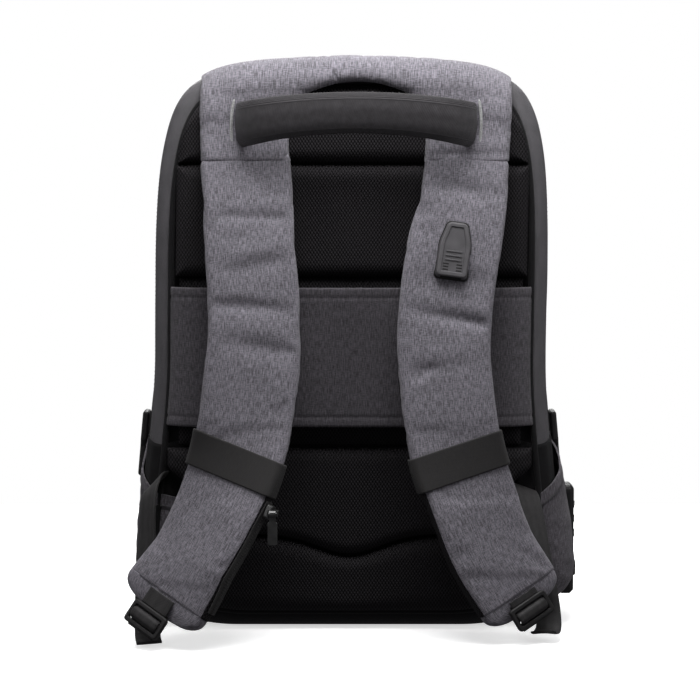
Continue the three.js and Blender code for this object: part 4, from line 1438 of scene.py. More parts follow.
@dataclass
class Strap:
    """One padded shoulder strap with its band, rounded end, webbing and adjuster web."""

    side: Side
    edge: float = 4.5
    tuck: float = 14.0
    tuck_narrow: float = 8.0
    tuck_thin: float = 3.5
    crown: float = 0.9
    crease_half: float = 36.0
    crease_spread: float = 0.8
    ridge: float = 0.45
    band_share: float = 0.672
    band_width: float = 28.0
    band_thick: float = 1.4
    band_wall: float = 1.0
    band_dip: float = 0.7
    tip_length: float = 15.0
    tip_round: float = 25.0
    web_width: float = 25.0
    web_thick: float = 1.8
    adjuster_width: float = 20.0
    loop_width: float = 26.4
    loop_length: float = 22.0
    loop_half: float = 5.0
    loop_rise: float = 3.3
    lock_length: float = 19.0
    lock_lift: float = 9.6

    def __post_init__(self) -> None:
        """Lays the strap's middle line."""
        self.rows = STRAP_LINES[self.side]
        self.line = Route([row[:3] for row in self.rows])
        self.soft = Unevenness(0.5, 26.0, 1.5 + self.side.value)
        self.known: dict[float, Station] = {}

    def at(self, share: float) -> Station:
        """The strap's frame at a share of its length, worked out once.

        Args:
            share: Share of the length, which may be under 0 or over 1.

        Returns:
            The frame.
        """
        key = round(share, 6)
        if key not in self.known:
            place, along, knot = self.line.at(share)
            sign = self.side.value
            sizes = list(zip(*self.rows))[3:]
            width, thick, twist = (float(np.interp(knot, range(len(self.rows)), size)) for size in sizes)
            across = (Vector((sign, 0, 0)) - along * (sign * along.x)).normalized()
            face = (along.cross(across) * sign).normalized()
            across, face = turned(across, face, -math.radians(twist))
            self.known[key] = Station(place, along, across, face, width, thick)
        return self.known[key]

    def beyond(self, distance: float) -> Station:
        """The strap's frame at a distance past its end seam."""
        return self.at(1 + distance / self.line.length)

    def sleeve(self, share: float, turn: float, out: float) -> Vector:
        """A point round the strap.

        Args:
            share: Share of the strap's length.
            turn: Share of the way round.
            out: Distance off the strap's surface.

        Returns:
            The point.
        """
        here = self.at(share)
        edge = self.edge + 0.4 * out
        return here.offset(*padded_ring(turn, here.width + 2 * out, here.thick + 2 * out, edge))

    def crease(self, across: float, z: float) -> float:
        """How deep the face is creased, with a soft ridge beside each crease.

        Args:
            across: Distance from the middle line.
            z: The height.

        Returns:
            The depth, negative on a ridge.
        """
        deep = 0.0
        for height, depth, width, slope, middle in CREASES[self.side]:
            away = (z - height) - slope * across
            fade = bell(across / self.crease_half, middle, self.crease_spread)
            deep += depth * bell(away, 0, width) * fade
            deep -= self.ridge * depth * bell(away, 1.9 * width, 1.2 * width) * fade
        return deep

    def build(self) -> None:
        """Makes and dresses every piece of the strap."""
        self.build_padding()
        self.build_tip()
        self.build_band()
        self.build_end_tab()
        self.build_adjuster()
        self.build_loop()

    def build_padding(self) -> None:
        """The padded strap: heather over its face and corners, black mesh behind."""
        def place(u: float, v: float) -> Vector:
            """The strap's surface, creased on its face and narrowed where the yoke hides it."""
            here = self.at(mix(-self.tuck / self.line.length, 1.0, v))
            hidden = smoothstep(here.place.z, YOKE_FOOT + 2.5, YOKE_FOOT + 7.5)
            width, thick = here.width - self.tuck_narrow * hidden, here.thick - self.tuck_thin * hidden
            sideways, outwards = padded_ring(u, width, thick, self.edge)
            level = abs(sideways) / (here.width / 2)
            if outwards > 0:
                flat = 1 - smoothstep(level, 0.7, 1.0)
                soft = self.soft.at(here.offset(sideways, 0))
                outwards -= self.crease(sideways, here.place.z) * flat + self.crown * level**3 - soft * flat
            return here.offset(sideways, outwards)

        here = self.at(0.4)
        arc = RIGHT_ANGLE * self.edge
        whole = 2 * (here.width - 2 * self.edge) + 2 * (here.thick - 2 * self.edge) + 4 * arc
        first = (here.thick - 2 * self.edge) / whole
        last = first + (here.width - 2 * self.edge + 2 * arc) / whole
        corner = arc / whole

        def behind(u: float, v: float) -> bool:
            """Whether a place is on the strap's back, which takes in the inner corner below the band."""
            return not first + (corner if v > self.band_share else 0.0) < u < last

        pad = sew(self.side.of("shoulder_strap"), tube(48, 100, second=behind), place)
        band_z = self.at(self.band_share).place.z

        def loose(point: Vector) -> float:
            """How free the cloth is: held under the band and at both ends."""
            ends = smoothstep(point.z, 355, 372) + 1 - smoothstep(point.z, 30, 55)
            return max(0.0, 1 - bell(point.z, band_z, 16) - ends) * 0.9

        Swelling(farthest=1.2).run(pad, loose)
        refine(pad)
        wear(pad, HEATHER, AIR_MESH, stands_for=[self.side.of("strap")])

    def build_tip(self) -> None:
        """The rounded end beyond the end seam."""
        def place(u: float, v: float) -> Vector:
            """The end's surface, from a little under the strap to its round edge."""
            share = mix(-0.12, 1.0, v)
            here = self.beyond(self.tip_length * share)
            share = max(0.0, share)
            narrow = 0.8 + self.tip_round * (1 - arch(share, 2.6))
            thick = here.thick - mix(1.6, 8.5, share**2.2)
            edge = min(self.edge, 0.42 * thick)
            return here.offset(*padded_ring(u, here.width - 2 * narrow, thick, edge))

        tip = sew(self.side.of("strap_end"), tube(64, 16), place)
        wear(tip, HEATHER, stands_for=[self.side.of("strap_tip")])

    def build_band(self) -> None:
        """The plain band sewn round the strap."""
        middle = self.at(self.band_share)
        out = CLEARANCE + self.band_thick

        def level(turn: float, height: float) -> float:
            """The strap's share where the skewed band is at a height, found step by step."""
            share = self.band_share
            for _ in range(4):
                point = self.sleeve(share, turn, out) - middle.place
                wanted = height - BAND_SKEWS[self.side] * point.dot(middle.across)
                share += (wanted - point.dot(middle.along)) / self.line.length
            return share

        def place(u: float, v: float) -> Vector:
            """The band's outside, with its edges rolled in."""
            near = min(v, 1 - v) * self.band_width
            dip = self.band_dip * (1 - quarter_round(near / 0.9))
            return self.sleeve(level(u, (v - 0.5) * self.band_width), u, out - dip)

        band = sew(self.side.of("strap_ribbon"), Cut(84, 40, closed=True), place)
        thicken(band, self.band_wall)
        wear(band, BINDING, stands_for=[self.side.of("strap_band")])
        stretch(band, place, [self.side.of("strap")])

    def web(self, name: str, cut: Cut, line: Line, width: float) -> tuple[Piece, tuple[float, float]]:
        """A flat web along a line.

        Args:
            name: The piece's name, without its side.
            cut: The layout of its grid.
            line: The line that it follows.
            width: The web's width.

        Returns:
            The piece and its flat size in metres.
        """
        def place(u: float, v: float) -> Vector:
            """The web's surface."""
            spot, across, face = line(v)
            sideways, outwards = flat_ring(u, width, self.web_thick)
            return spot + across * sideways + face * outwards

        piece = sew(self.side.of(name), cut, place)
        _, long = measure(place)
        return piece, (width * MM, long * MM)

    def build_end_tab(self) -> None:
        """The short web from the end seam, over the rounded end, to the adjuster's upper bar."""
        last = END_HANGS[self.side] - self.lock_length / 2 - CLEARANCE

        def line(share: float) -> Spot:
            """The tab's line, on the strap's face."""
            here = self.beyond(mix(0.5, last, share))
            place = here.offset(0, here.thick / 2 + CLEARANCE + self.web_thick / 2)
            return place, here.across, here.face

        tab, _ = self.web("end_tab_web", tube(28, 14), line, self.web_width)
        wear(tab, BLACK_WEB, stands_for=[self.side.of("end_tab")])

    def build_adjuster(self) -> None:
        """The web from the bag's side seam down to the adjuster."""
        route = Route(END_WAYS[self.side])

        def line(share: float) -> Spot:
            """The web's line, which loses its twist on the way down."""
            place, along, _ = route.at(share)
            across = (Vector((1, 0, 0)) - along * along.x).normalized()
            turn = WEB_TWISTS[self.side] * (1 - smoothstep(share, 0.25, 0.95))
            return place, *turned(across, along.cross(across), turn)

        web, flat = self.web("adjuster_web", tube(24, 90), line, self.adjuster_width)
        wear(web, BLACK_WEB, stands_for=[self.side.of("adjuster")])
        held_by = [self.side.of("gusset"), self.side.of("ladder_lock")]

    def build_loop(self) -> None:
        """The web threaded through the adjuster, over its middle bar and behind its ends."""
        here = self.beyond(END_HANGS[self.side])
        centre = here.offset(0, self.lock_lift)

        def line(share: float) -> Spot:
            """The loop's line, a round rise between two level ends."""
            reach = (share - 0.5) * self.loop_length
            away = clamp(reach / self.loop_half, -1.0)
            height = self.loop_rise * (1 - 2 * away**4)
            slope = -8 * self.loop_rise / self.loop_half * away**3 * (abs(away) < 1)
            face = (here.face - here.along * slope).normalized()
            return centre + here.along * reach + here.face * height, here.across, face

        loop, flat = self.web("adjuster_loop", tube(28, 60), line, self.loop_width)
        wear(loop, BLACK_WEB)
        self.side.of("ladder_lock")


YOKE_CUT: list[tuple[float, float, float, float]] = [
    # Columns: outer edge's distance and height, inner edge's distance and height. Rows run from a foot up.
    (123, YOKE_FOOT, 53, YOKE_FOOT),
    (124, 398, 54, 392),
    (124.5, 418, 53.5, 408.5),
    (124, 438, 48, 420.5),
    (122, 459, 40, 428.5),
    (100, 474, 30, 433),
    (68, 480, 18, 436.5),
    (34, 482, 9, 437.8),
    (0, 482, 0, 438.2),
]


@dataclass
class Yoke:
    """The padded yoke over the top of the back, and the grab handle that leaves it at both ends."""

    thick: float = 9.0
    roll: float = 17.0
    clear: float = 2.2
    thin: float = 0.95
    aside: float = 3.0
    half: float = 124.0
    hug: float = 9.0
    hug_from: float = 80.0
    top_fall: float = 0.08
    seat: float = -74.9
    foot_rise: float = 5.4
    foot_height: float = 34.0
    foot_sunk: float = 1.6
    fold: float = 1.3
    fold_z: float = 381.5
    fold_width: float = 2.6
    soft: Unevenness = Unevenness(0.5, 24.0, 6.0)
    handle_half: float = 93.0
    handle_aside: float = 1.9
    handle_z: float = 403.4
    handle_rise: float = 9.2
    handle_reach: float = 33.0
    handle_width: float = 37.0
    handle_waist: float = 3.0
    handle_thick: float = 4.0
    handle_curl: float = 6.0
    welt_radius: float = 1.3
    welt_aside: float = 3.0
    welt_bend: float = 2.0
    welt_past: float = 5.0
    welt_off: float = 1.5

    def drape(self, x: float, height: float, lift: float) -> Vector:
        """A point over the back and top of the bag.

        Args:
            x: Distance from the middle.
            height: Height up the back until the roll, and the way along the roll and the top after it.
            lift: Distance off the surface.

        Returns:
            The point.
        """
        start = BAG.top(x) + self.clear - self.roll
        tuck = self.hug * smoothstep(abs(x), self.hug_from, self.half)
        tuck *= smoothstep(height, start - 20, start + 12)
        if height <= start:
            return Vector((x, self.seat - lift + tuck, height))
        turn = min(RIGHT_ANGLE, (height - start) / self.roll)
        along = height - start - turn * self.roll
        thin = self.thin * min(1.0, (x / YOKE_CUT[0][0]) ** 2) * math.sin(turn)
        radius = self.roll + lift * (1 - thin)
        y = self.seat + self.roll - radius * math.cos(turn) + along + tuck
        return Vector((x, y, start + radius * math.sin(turn) - along * self.top_fall))

    def build(self) -> None:
        """Makes and dresses the yoke, the handle and the welts at the handle's ends."""
        self.build_padding()
        self.build_handle()
        for side in Side:
            self.build_welt(side)

    def build_padding(self) -> None:
        """The yoke: a padded arch from one strap over the top to the other."""
        left = [(-a, b, -c, d) for a, b, c, d in YOKE_CUT]
        line = Route(left + YOKE_CUT[-2::-1])

        @lru_cache(maxsize=None)
        def section(v: float) -> np.ndarray:
            """The outer and the inner edge at a share of the way."""
            return line.values(v)

        def lay(u: float, v: float) -> tuple[float, float]:
            """The flat place of a point: out along the face, and back behind it."""
            outer_x, outer_h, inner_x, inner_h = section(v)
            share = 0.5 - 0.5 * math.cos(FULL_TURN * u)
            return mix(outer_x, inner_x, share), mix(outer_h, inner_h, share)

        def place(u: float, v: float) -> Vector:
            """The yoke's surface, padded on its face and flat behind."""
            share = 0.5 - 0.5 * math.cos(FULL_TURN * u)
            x, height = lay(u, v)
            near_foot = 1 - smoothstep(height, YOKE_FOOT, YOKE_FOOT + self.foot_height)
            round_off = arch(2 * share - 1, mix(7, 20, near_foot))
            lift = (self.thick + self.foot_rise * near_foot) * round_off
            lift += self.soft.at((x, 0, height)) * round_off
            fold = self.fold * bell(height, self.fold_z, self.fold_width) * smoothstep(x, 40, 80)
            sunk = self.foot_sunk * (1 - smoothstep(height, YOKE_FOOT, YOKE_FOOT + 3))
            x += self.aside * (1 - smoothstep(x, 60, self.half))
            return self.drape(x, height, max(0.0, lift - fold - sunk) if u < 0.5 else 0.0)

        def loose(point: Vector) -> float:
            """How free the cloth is: held at its feet."""
            return 0.8 * smoothstep(point.z, 378, 400)

        yoke = sew("yoke_padding", tube(48, 130, lay=lay), place)
        Swelling(farthest=0.9).run(yoke, loose)
        refine(yoke)
        wear(yoke, HEATHER, stands_for=["yoke"])

    def handle_point(self, share: float) -> Vector:
        """The handle's middle line.

        Args:
            share: -1 at its left end, 1 at its right.

        Returns:
            The point.
        """
        bow = self.handle_reach * (1 - abs(share) ** 7) ** 0.8
        start = self.seat - self.thick - CLEARANCE - self.handle_thick / 2
        rise = self.handle_rise * (1 - share * share)
        return Vector((self.handle_aside + share * self.handle_half, start - bow, self.handle_z + rise))

    def build_handle(self) -> None:
        """The grab handle: wide ribbed webbing, sewn into the yoke between two welts."""
        shares = [math.sin(RIGHT_ANGLE * (i / 20 - 1)) for i in range(41)]
        line = Route([tuple(self.handle_point(share)) for share in shares])

        def place(u: float, v: float) -> Vector:
            """The webbing's surface, curled back along its lower and upper edges."""
            spot, along, _ = line.at(v)
            level = (spot.x - self.handle_aside) / self.handle_half
            up = (Vector((0, 0, 1)) - along * along.z).normalized()
            width = self.handle_width - self.handle_waist * (1 - level * level)
            upwards, outwards = flat_ring(u, width, self.handle_thick)
            level = 2 * upwards / width
            curl = self.handle_curl * smoothstep(-level, 0.25, 1.25) ** 1.4 + 1.2 * max(0.0, level) ** 4
            upwards += 2.0 * smoothstep(-level, 0.4, 1.0)
            return spot + up * upwards + along.cross(up) * (outwards - curl)

        handle = sew("handle_webbing", tube(48, 150), place)
        wear(handle, WEBBING, stands_for=["handle"])

    def build_welt(self, side: Side) -> None:
        """The rolled edge of the slit that the handle comes out of.

        Args:
            side: The handle's end.
        """
        x = self.handle_aside + side.value * (self.handle_half + self.welt_aside)
        y = self.seat - self.thick - self.welt_off

        def place(u: float, v: float) -> Vector:
            """The welt's surface, bent outwards and tapered to both ends."""
            turn = FULL_TURN * u
            z = self.handle_z + (v - 0.5) * (self.handle_width + self.welt_past)
            taper = self.welt_radius * arch(2 * v - 1, 8, 0.05)
            bend = self.welt_bend * side.value * (1 - (2 * v - 1) ** 2)
            return Vector((x + bend + taper * math.cos(turn), y - taper * math.sin(turn), z))

        # The paler heather paints the highlight along the rolled edge.
        wear(sew(side.of("handle_welt"), tube(12, 36), place), HIGHLIT_HEATHER)


# Pieces on the straps


@dataclass
class StrapZip:
    """The zip along the left strap's inner edge: its tape and coil. The slider and pull are solids."""

    strap: Strap
    start: float = 0.724
    end: float = 0.975
    width: float = 10.0
    lift: float = 0.9
    tape: float = 0.8
    tooth: float = 1.9

    def build(self) -> None:
        """Makes and dresses the tape."""
        length = (self.end - self.start) * self.strap.line.length

        def place(u: float, v: float) -> Vector:
            """The zip's outside."""
            here = self.strap.at(mix(self.start, self.end, v))
            across = (u - 0.5) * self.width
            teeth = 0.7 + 0.35 * math.cos(FULL_TURN * v * length / self.tooth)
            coil = smoothstep(-abs(across), -2.4, -1.2) * teeth
            return here.offset(-here.width / 2 - CLEARANCE - self.lift - coil, across)

        tape = sew("strap_zip_tape", Cut(14, 240, facing=self.strap.at(0.85).place * MM), place)
        thicken(tape, self.tape)
        wear(tape, BINDING, stands_for=["strap_zip"])


@dataclass
class Outlet:
    """The moulded charging outlet on the right strap, with its raised rim, ribs, slots and socket."""

    strap: Strap
    share: float = 0.2
    length: float = 44.0
    width: float = 25.0
    thick: float = 8.0
    draft: tuple[float, float, float] = (0.94, 0.96, 1.0)
    corner: float = 3.0
    top_edge: float = 1.1
    rim: float = 2.0
    rim_slope: float = 0.5
    sunk: float = 0.9
    ease: float = 0.35
    # The black plate under the outlet is painted shadow round its foot: how far it stands out, and its
    # thickness.
    gasket_grow: float = 1.2
    gasket_thick: float = 0.9
    socket_wall: float = 1.3
    socket_slope: float = 0.15
    socket_depth: float = 9.0
    rib_size: tuple[float, float, float] = (12.5, 1.2, 0.7)
    rib_top: float = -1.5
    rib_pitch: float = 3.4
    slot_size: tuple[float, float, float] = (4.4, 1.1, 0.2)
    slot_aside: float = 5.2
    slot_top: float = -11.6
    slot_pitch: float = 2.3
    marks: int = 3
    mark_edge: float = 0.08

    def place(self) -> Matrix:
        """Finds where the outlet sits on the strap.

        Returns:
            The way from the outlet's own millimetres to the scene's metres.
        """
        here = self.strap.at(self.share)
        spot = BAG.settle(here.offset(0, here.thick / 2 + CLEARANCE)) * MM
        turn = Matrix((here.across, -here.along, here.face)).transposed().to_4x4()
        return Matrix.Translation(spot) @ turn @ Matrix.Scale(MM, 4)

    def block(self, grow: float, height: float) -> Form:
        """A drafted block of the outlet's outline with round corners.

        Args:
            grow: How far it stands out round the outline.
            height: Its height.

        Returns:
            The bmesh, in the outlet's own millimetres.
        """
        form = bmesh.new()
        half, top, end = self.width / 2, 0.31 * self.width, self.length / 2
        right = [(half, -end), (half, 0.12 * self.length), (top, end)]
        corners = right + [(-x, y) for x, y in reversed(right)]
        wide, long = 1 + 2 * grow / self.width, 1 + 2 * grow / self.length
        base = form.faces.new([form.verts.new((x * wide, y * long, 0.0)) for x, y in corners])
        walls = bmesh.ops.extrude_face_region(form, geom=[base])["geom"]
        raised = [item for item in walls if isinstance(item, bmesh.types.BMVert)]
        bmesh.ops.scale(form, verts=raised, vec=self.draft)
        bmesh.ops.translate(form, verts=raised, vec=(0, 0, height))
        bmesh.ops.recalc_face_normals(form, faces=form.faces)
        upright = [e for e in form.edges if abs(e.verts[0].co.z - e.verts[1].co.z) > 0.5]
        round_edges(form, upright, self.corner, 4)
        return form

    def build(self) -> None:
        """Makes and dresses the outlet and the marks on its face."""
        # A black plate a little wider than the outlet, under it: painted shadow round the outlet's foot.
        shadow_rim = self.block(self.gasket_grow, self.gasket_thick)
        bmesh.ops.transform(shadow_rim, matrix=self.place(), verts=shadow_rim.verts)
        wear(link("outlet_shadow_rim", shadow_rim), PLASTIC)
        form = self.block(0.0, self.thick)
        form.normal_update()
        top = max(form.faces, key=lambda f: f.normal.z * 100 + f.calc_center_median().z)
        round_edges(form, list(top.edges), self.top_edge, 3)
        form.normal_update()
        top = max(form.faces, key=lambda f: f.calc_area() if f.normal.z > 0.9 else 0.0)
        self.sink(form, top, (self.rim, self.rim_slope), self.sunk)
        form.normal_update()
        end = min(form.faces, key=lambda f: f.normal.y * f.calc_area())
        self.sink(form, end, (self.socket_wall, self.socket_slope), self.socket_depth)
        bmesh.ops.transform(form, matrix=self.place(), verts=form.verts)
        bmesh.ops.recalc_face_normals(form, faces=form.faces)
        body = link("outlet_body", form)
        body.data.shade_flat()
        ease_edges(body, self.ease)
        wear(body, OUTLET_PLASTIC, stands_for=["usb_port"])
        self.build_marks()

    @staticmethod
    def sink(form: Form, face: bmesh.types.BMFace, edge: tuple[float, float], depth: float) -> None:
        """Sinks a face to a depth, inside an edge that is level first and then slopes."""
        for thick, deep in zip(edge, (0.0, -depth)):
            bmesh.ops.inset_region(form, faces=[face], thickness=thick, depth=deep)

    def build_marks(self) -> None:
        """Three ribs and two groups of three short slots on the outlet's face."""
        face = self.thick - self.sunk
        rows = range(self.marks)
        ribs = [(0, self.rib_top - self.rib_pitch * i, face + 0.2) for i in rows]
        slots = [
            (side.value * self.slot_aside, self.slot_top - self.slot_pitch * i, face + 0.05)
            for side in Side
            for i in rows
        ]
        groups = (
            ("outlet_ribs", ribs, self.rib_size, OUTLET_PLASTIC),
            ("outlet_slots", slots, self.slot_size, PLASTIC),
        )
        for name, spots, size, finish in groups:
            form = bmesh.new()
            for spot in spots:
                bar = Matrix.Translation(spot) @ Matrix.Diagonal((*size, 1.0))
                bmesh.ops.create_cube(form, size=1.0, matrix=self.place() @ bar)
            round_edges(form, form.edges[:], self.mark_edge * MM, 2)
            wear(link(name, form), finish)


# The sides


POCKET_ROWS: list[tuple[float, float]] = [
    # Columns: the hem's height, and how far the pocket stands off the shell, from the back forwards.
    (106, 1.2), (108, 1.2), (110, 1.2), (116, 3.0), (123, 6.0), (130, 10.0), (136, 12.0), (141, 10.0),
    (144, 5.0), (146, 1.2),
]
POCKET_DEPTHS = [-47.0, -36.0, -22.0, -11.0, -4.0]
POCKET_SWELL: list[tuple[float, float]] = [
    # Columns: share of the height, and share of the full swell.
    (0.0, 0.5), (0.06, 0.8), (0.13, 0.97), (0.25, 1.0), (0.5, 0.9), (0.78, 0.62), (1.0, 0.38),
]


@dataclass
class SidePocket:
    """An open pocket on one side, hemmed at its mouth and lined in black."""

    side: Side
    foot: float = 22.0
    wall: float = 2.0
    cloth: float = 1.6
    lining: float = 0.6
    lining_back: float = 48.0
    lining_front: float = 6.0
    least: float = 1.2
    left_swell: float = 0.15
    hem: float = 11.0
    hem_rise: float = 0.8
    hem_dip: float = 0.5
    hem_z: float = 128.0
    lap: float = 18.0
    lap_rows: int = 2
    roll_rows: int = 3
    slack: Unevenness = Unevenness(0.9, 22.0, 8.0)
    crumple: Unevenness = Unevenness(0.5, 9.0, 9.0)

    def row(self, u: float) -> tuple[Row, float, float]:
        """Finds what the pocket lies on.

        Args:
            u: Share of the way forwards.

        Returns:
            The shell's row under the pocket, the hem's height and how far the pocket stands off.
        """
        place = u * (len(POCKET_ROWS) - 1)
        knots = range(len(POCKET_ROWS))
        hem, off = (float(np.interp(place, knots, column)) for column in zip(*POCKET_ROWS))
        place = max(0.0, place - self.lap_rows)
        if place < self.roll_rows:
            return BAG.rear_row(math.radians(30 * place)), hem, off
        depth = float(np.interp(place - self.roll_rows, range(len(POCKET_DEPTHS)), POCKET_DEPTHS))
        return BAG.row_at(depth), hem, off

    def lapped(self, u: float, point: Vector) -> Vector:
        """The point moved inwards over the back, where the pocket laps on to it."""
        share = max(0.0, 1 - u * (len(POCKET_ROWS) - 1) / self.lap_rows)
        return point - Vector((self.side.value * self.lap * share, 0, 0))

    def point(self, u: float, v: float, proud: float = 0.0) -> Vector:
        """A point of the pocket's outside.

        Args:
            u: Share of the way forwards.
            v: Share of the height.
            proud: Distance off the outside.

        Returns:
            The point, before the bag's settle.
        """
        row, top, off = self.row(u)
        full = 1.0 if self.side is Side.RIGHT else self.left_swell
        swell = float(np.interp(v, *zip(*POCKET_SWELL)))
        z = mix(self.foot, top, v)
        from_hem = top - z
        fold = self.hem_rise * smoothstep(-from_hem, -self.hem, -self.hem + 1.5)
        fold -= self.hem_dip * bell(from_hem, self.hem + 1, 1.2)
        slack = (self.slack.at((row.y, 0, z)) + self.crumple.at((row.y, 0, z))) * math.sin(math.pi * u)
        out = CLEARANCE + max(self.least, off * full) * swell + self.wall + fold + slack + proud
        return self.lapped(u, BAG.side_point(self.side, row, z, max(out, CLEARANCE + 1.5)))

    def lining_point(self, u: float, v: float) -> Vector:
        """A point of the lining on the bag's wall behind the pocket, which shows above the hem.

        Args:
            u: Share of the way forwards.
            v: Share of the height.

        Returns:
            The point, before the bag's settle.
        """
        row, top, _ = self.row(u)
        z = mix(self.foot, top + mix(self.lining_back, self.lining_front, u), v)
        return self.lapped(u, BAG.side_point(self.side, row, z, 1.0 + 0.3 * math.sin(40 * u) * v))

    def build(self) -> None:
        """Makes and dresses the pocket, its lining and its row of stitches."""
        lining = sew(self.side.of("pocket_lining"), Cut(60, 40), self.lining_point)
        thicken(lining, self.lining)
        wear(lining, LINING)
        pocket = sew(self.side.of("pocket"), Cut(72, 80), self.point)
        thicken(pocket, self.cloth, lining=True)
        wear(pocket, POCKET_HEATHER, LINING, stands_for=[self.side.of("side_pocket")])
        for cloth, place in ((lining, self.lining_point), (pocket, self.point)):
            stretch(cloth, place, [self.side.of("gusset")])
        level = 1 - self.hem / (self.hem_z - self.foot)
        row = [self.point(u, level, 0.1) for u in shares_between(0.05, 16)]
        stitched(self.side.of("pocket_stitches"), [row], Vector((self.side.value, -0.4, 0)).normalized())


@dataclass
class SideStrap:
    """The slack webbing above a pocket, under its fastened buckle."""

    side: Side
    y: float = 24.0
    low: float = 110.0
    high: float = 194.0
    bow: float = 2.0
    width: float = 25.0
    thick: float = 1.8

    def build(self) -> None:
        """Makes and dresses the webbing."""
        def place(u: float, v: float) -> Vector:
            """The webbing's surface, bowed off the bag."""
            z = mix(self.low, self.high, v)
            bow = CLEARANCE + self.bow * arch(2 * v - 1, 4)
            across, outwards = flat_ring(u, self.width, self.thick)
            row = BAG.row_at(self.y + across)
            return BAG.side_point(self.side, row, z, bow + self.thick / 2 + outwards)

        web = sew(self.side.of("side_webbing"), tube(28, 60), place)
        wear(web, BLACK_WEB, stands_for=[self.side.of("side_strap")])
        self.side.of("gusset")


@dataclass
class Lock:
    """The combination lock: its padded seat, and the numbers on its dials."""

    y: float = 22.0
    seat: float = 174.5
    seat_gap: float = 0.4
    width: float = 28.0
    foot: float = 46.0
    top: float = 109.0
    axle_x: float = 183.5
    dials: tuple[float, ...] = (88.0, 76.0, 64.0)
    bodies: tuple[str, ...] = ("dial_top", "dial_middle", "dial_bottom")
    dial_radius: float = 5.6
    numbers: int = 10
    number_size: float = 4.2
    number_rise: float = 0.05
    number_sunk: float = 0.3

    def build(self) -> None:
        """Makes and dresses the seat and the numbers."""
        def place(u: float, v: float) -> Vector:
            """The seat's surface, from the bag's wall out to the lock's flat back."""
            z = mix(self.foot, self.top, v)
            turn = FULL_TURN * u
            across = self.width / 2 * signed_power(math.cos(turn), 0.3)
            inner = BAG.side_point(Side.RIGHT, BAG.row_at(self.y + across), z, self.seat_gap)
            out = 0.5 + 0.5 * signed_power(math.sin(turn), 0.4)
            return inner.lerp(Vector((self.seat - self.seat_gap, self.y + across, z)), out)

        seat = sew("lock_seat", tube(48, 30), place)
        wear(seat, CHARCOAL, stands_for=["lock_mount"])
        for z, body in zip(self.dials, self.bodies):
            self.build_numbers(z, body)

    def number_mesh(self, number: int) -> bpy.types.Mesh:
        """A number as a flat mesh.

        Args:
            number: The number.

        Returns:
            The mesh, at the origin.
        """
        text = bpy.data.curves.new(f"number_{number}", "FONT")
        text.body = str(number)
        text.size = self.number_size * MM
        text.align_x = "CENTER"
        text.align_y = "CENTER"
        text.extrude = self.number_rise * MM
        holder = show(text.name, text)
        shown = holder.evaluated_get(bpy.context.evaluated_depsgraph_get())
        shape = bpy.data.meshes.new_from_object(shown)
        bpy.data.objects.remove(holder)
        bpy.data.curves.remove(text)
        return shape

    def build_numbers(self, z: float, body: str) -> None:
        """Ten plain numbers round one dial.

        Args:
            z: The dial's height.
            body: The body that it turns with.
        """
        form = bmesh.new()
        up = Vector((0, 0, 1))
        step = 360 / self.numbers
        for number in range(self.numbers):
            shape = self.number_mesh(number)
            angle = math.radians(step * number + step / 2)
            out = Vector((math.cos(angle), math.sin(angle), 0))
            turn = Matrix((up.cross(out), up, out)).transposed().to_4x4()
            spot = Vector((self.axle_x, self.y, z)) + out * (self.dial_radius - self.number_sunk)
            shape.transform(Matrix.Translation(spot * MM) @ turn)
            form.from_mesh(shape)
            bpy.data.meshes.remove(shape)
        wear(link(f"{body}_numbers", form), PALE_MARK, body=body)


# Solids that stay


@dataclass
class Hardware:
    """The hard solids, which keep their shape and get eased edges and a finish."""

    ease: float = 0.35
    sharp: float = 32.0
    same: float = 0.005
    level: float = math.radians(1.0)

    def build(self) -> None:
        """Eases and dresses each solid."""
        pairs = [side.of(name) for name in ("ladder_lock", "side_buckle") for side in Side]
        dials = [f"lock_dial_{i}" for i in (1, 2, 3)]
        finishes = dict.fromkeys([*pairs, *dials, "lock_body", "lock_button"], PLASTIC)
        finishes.update(zip_slider=DARK_METAL, zip_pull=DARK_METAL)
        for name, finish in finishes.items():
            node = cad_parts[name]
            node.data.materials.clear()
            node.data.materials.append(material_of(finish))
            weld = node.modifiers.new("weld", "WELD")
            weld.merge_threshold = self.same * MM
            flats = node.modifiers.new("flats", "DECIMATE")
            flats.decimate_type = "DISSOLVE"
            flats.angle_limit = self.level
            ease_edges(node, self.ease, self.sharp)
            log.info("%s: kept", name)


# Floor, light and camera


@dataclass(frozen=True)
class SoftBox:
    """A square soft box: where it hangs, the point that it is aimed at, its size and its power in watts."""

    name: str
    place: tuple[float, float, float]
    target: tuple[float, float, float]
    size: float
    power: float

    def build(self) -> None:
        """Hangs and aims the lamp."""
        data = bpy.data.lights.new(self.name, "AREA")
        data.shape = "SQUARE"
        data.size = self.size * MM
        data.energy = self.power
        lamp = show(self.name, data)
        lamp.location = Vector(self.place) * MM
        aim = (Vector(self.target) - Vector(self.place)).normalized()
        lamp.rotation_euler = aim.to_track_quat("-Z", "Y").to_euler()


SOFT_BOXES = (
    SoftBox("key", (20, -330, 900), (0, -80, 250), 450, 7.4),
    SoftBox("top", (0, 450, 1450), (0, 150, 100), 1000, 8.0),
    SoftBox("left", (-950, -420, 700), (0, -60, 300), 600, 2.5),
    SoftBox("right", (950, -420, 700), (0, -60, 300), 600, 3.4),
    SoftBox("backdrop", (0, 1150, 900), (0, 650, 0), 900, 22.0),
)


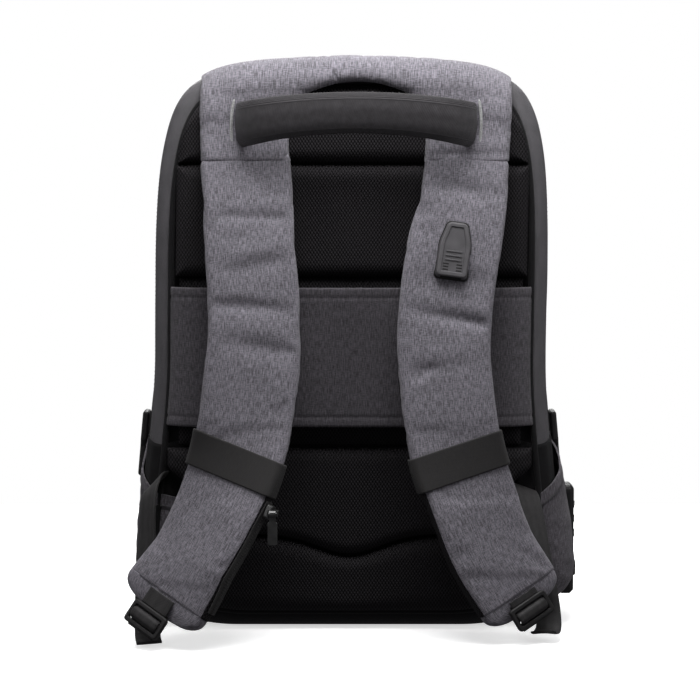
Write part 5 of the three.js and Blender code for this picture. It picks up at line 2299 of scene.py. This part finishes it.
@dataclass
class Studio:
    """A pale floor, soft light from above and in front, and the camera."""

    target: tuple[float, float, float] = (0.8, -62.0, 225.0)
    distance: float = 2000.0
    elevation: float = 5.0
    focal_pixels: float = 2500.0
    frame_pixels: float = 700.0
    floor_half: float = 1600.0
    floor_y: float = -1000.0
    floor_glow: float = 0.6
    sky_light: float = 0.14
    sky_tint: Colour = (0.97, 0.96, 1.0, 1.0)

    def build(self) -> None:
        """Makes the floor, the lights and the camera."""
        self.build_camera()
        self.build_floor()
        for box in SOFT_BOXES:
            box.build()
        self.build_sky()

    def build_camera(self) -> None:
        """The camera at the photograph's viewing angle."""
        data = bpy.data.cameras.new("camera")
        data.lens = data.sensor_width * self.focal_pixels / self.frame_pixels
        camera = show("camera", data)
        tilt = math.radians(self.elevation)
        back = Vector((0.0, -math.cos(tilt), math.sin(tilt)))
        camera.location = (Vector(self.target) + back * self.distance) * MM
        camera.rotation_euler = (-back).to_track_quat("-Z", "Y").to_euler()
        bpy.context.scene.camera = camera

    def build_floor(self) -> None:
        """A wide pale floor, which glows a little for the camera alone."""
        form = bmesh.new()
        bmesh.ops.create_grid(form, x_segments=1, y_segments=1, size=self.floor_half * MM)
        bmesh.ops.translate(form, verts=form.verts, vec=(0.0, self.floor_y * MM, 0.0))
        floor = link("floor", form)
        floor.visible_diffuse = False
        floor.visible_glossy = False
        graph = Graph("pale_floor")
        graph.ramp(graph.noise(graph.solid_map(400.0)), {0.3: grey(0.86), 0.7: grey(0.9)})
        glow = {"Roughness": 0.9, "Emission Color": WHITE, "Emission Strength": self.floor_glow}
        for key, value in glow.items():
            graph.give(graph.shader, key, value)
        floor.data.materials.append(graph.material)

    def build_sky(self) -> None:
        """A dim even sky that the camera sees as white."""
        world = bpy.data.worlds.new("sky")
        world.use_nodes = True
        tree = world.node_tree
        tree.nodes.clear()
        light, seen = (tree.nodes.new("ShaderNodeBackground") for _ in range(2))
        kinds = ("ShaderNodeMixShader", "ShaderNodeLightPath", "ShaderNodeOutputWorld")
        blend, path, end = (tree.nodes.new(kind) for kind in kinds)
        for node, colour, strength in ((light, self.sky_tint, self.sky_light), (seen, WHITE, 1.0)):
            node.inputs["Color"].default_value = colour
            node.inputs["Strength"].default_value = strength
        sources = (path.outputs["Is Camera Ray"], light.outputs[0], seen.outputs[0])
        for source, socket in zip(sources, blend.inputs):
            tree.links.new(source, socket)
        tree.links.new(blend.outputs[0], end.inputs[0])
        bpy.context.scene.world = world
        bpy.context.scene.view_settings.view_transform = "Standard"


def main() -> None:
    """Builds and dresses every sub-assembly in order."""
    logging.basicConfig(level=logging.INFO, format="%(name)s: %(message)s")
    Studio().build()
    straps = {side: Strap(side) for side in Side}
    assemblies = [
        Shell(),
        Back(),
        Yoke(),
        *straps.values(),
        StrapZip(straps[Side.LEFT]),
        Outlet(straps[Side.RIGHT]),
        *(SidePocket(side) for side in Side),
        *(SideStrap(side) for side in Side),
        Lock(),
        Hardware(),
    ]
    for assembly in assemblies:
        assembly.build()


if __name__ == "__main__":
    main()
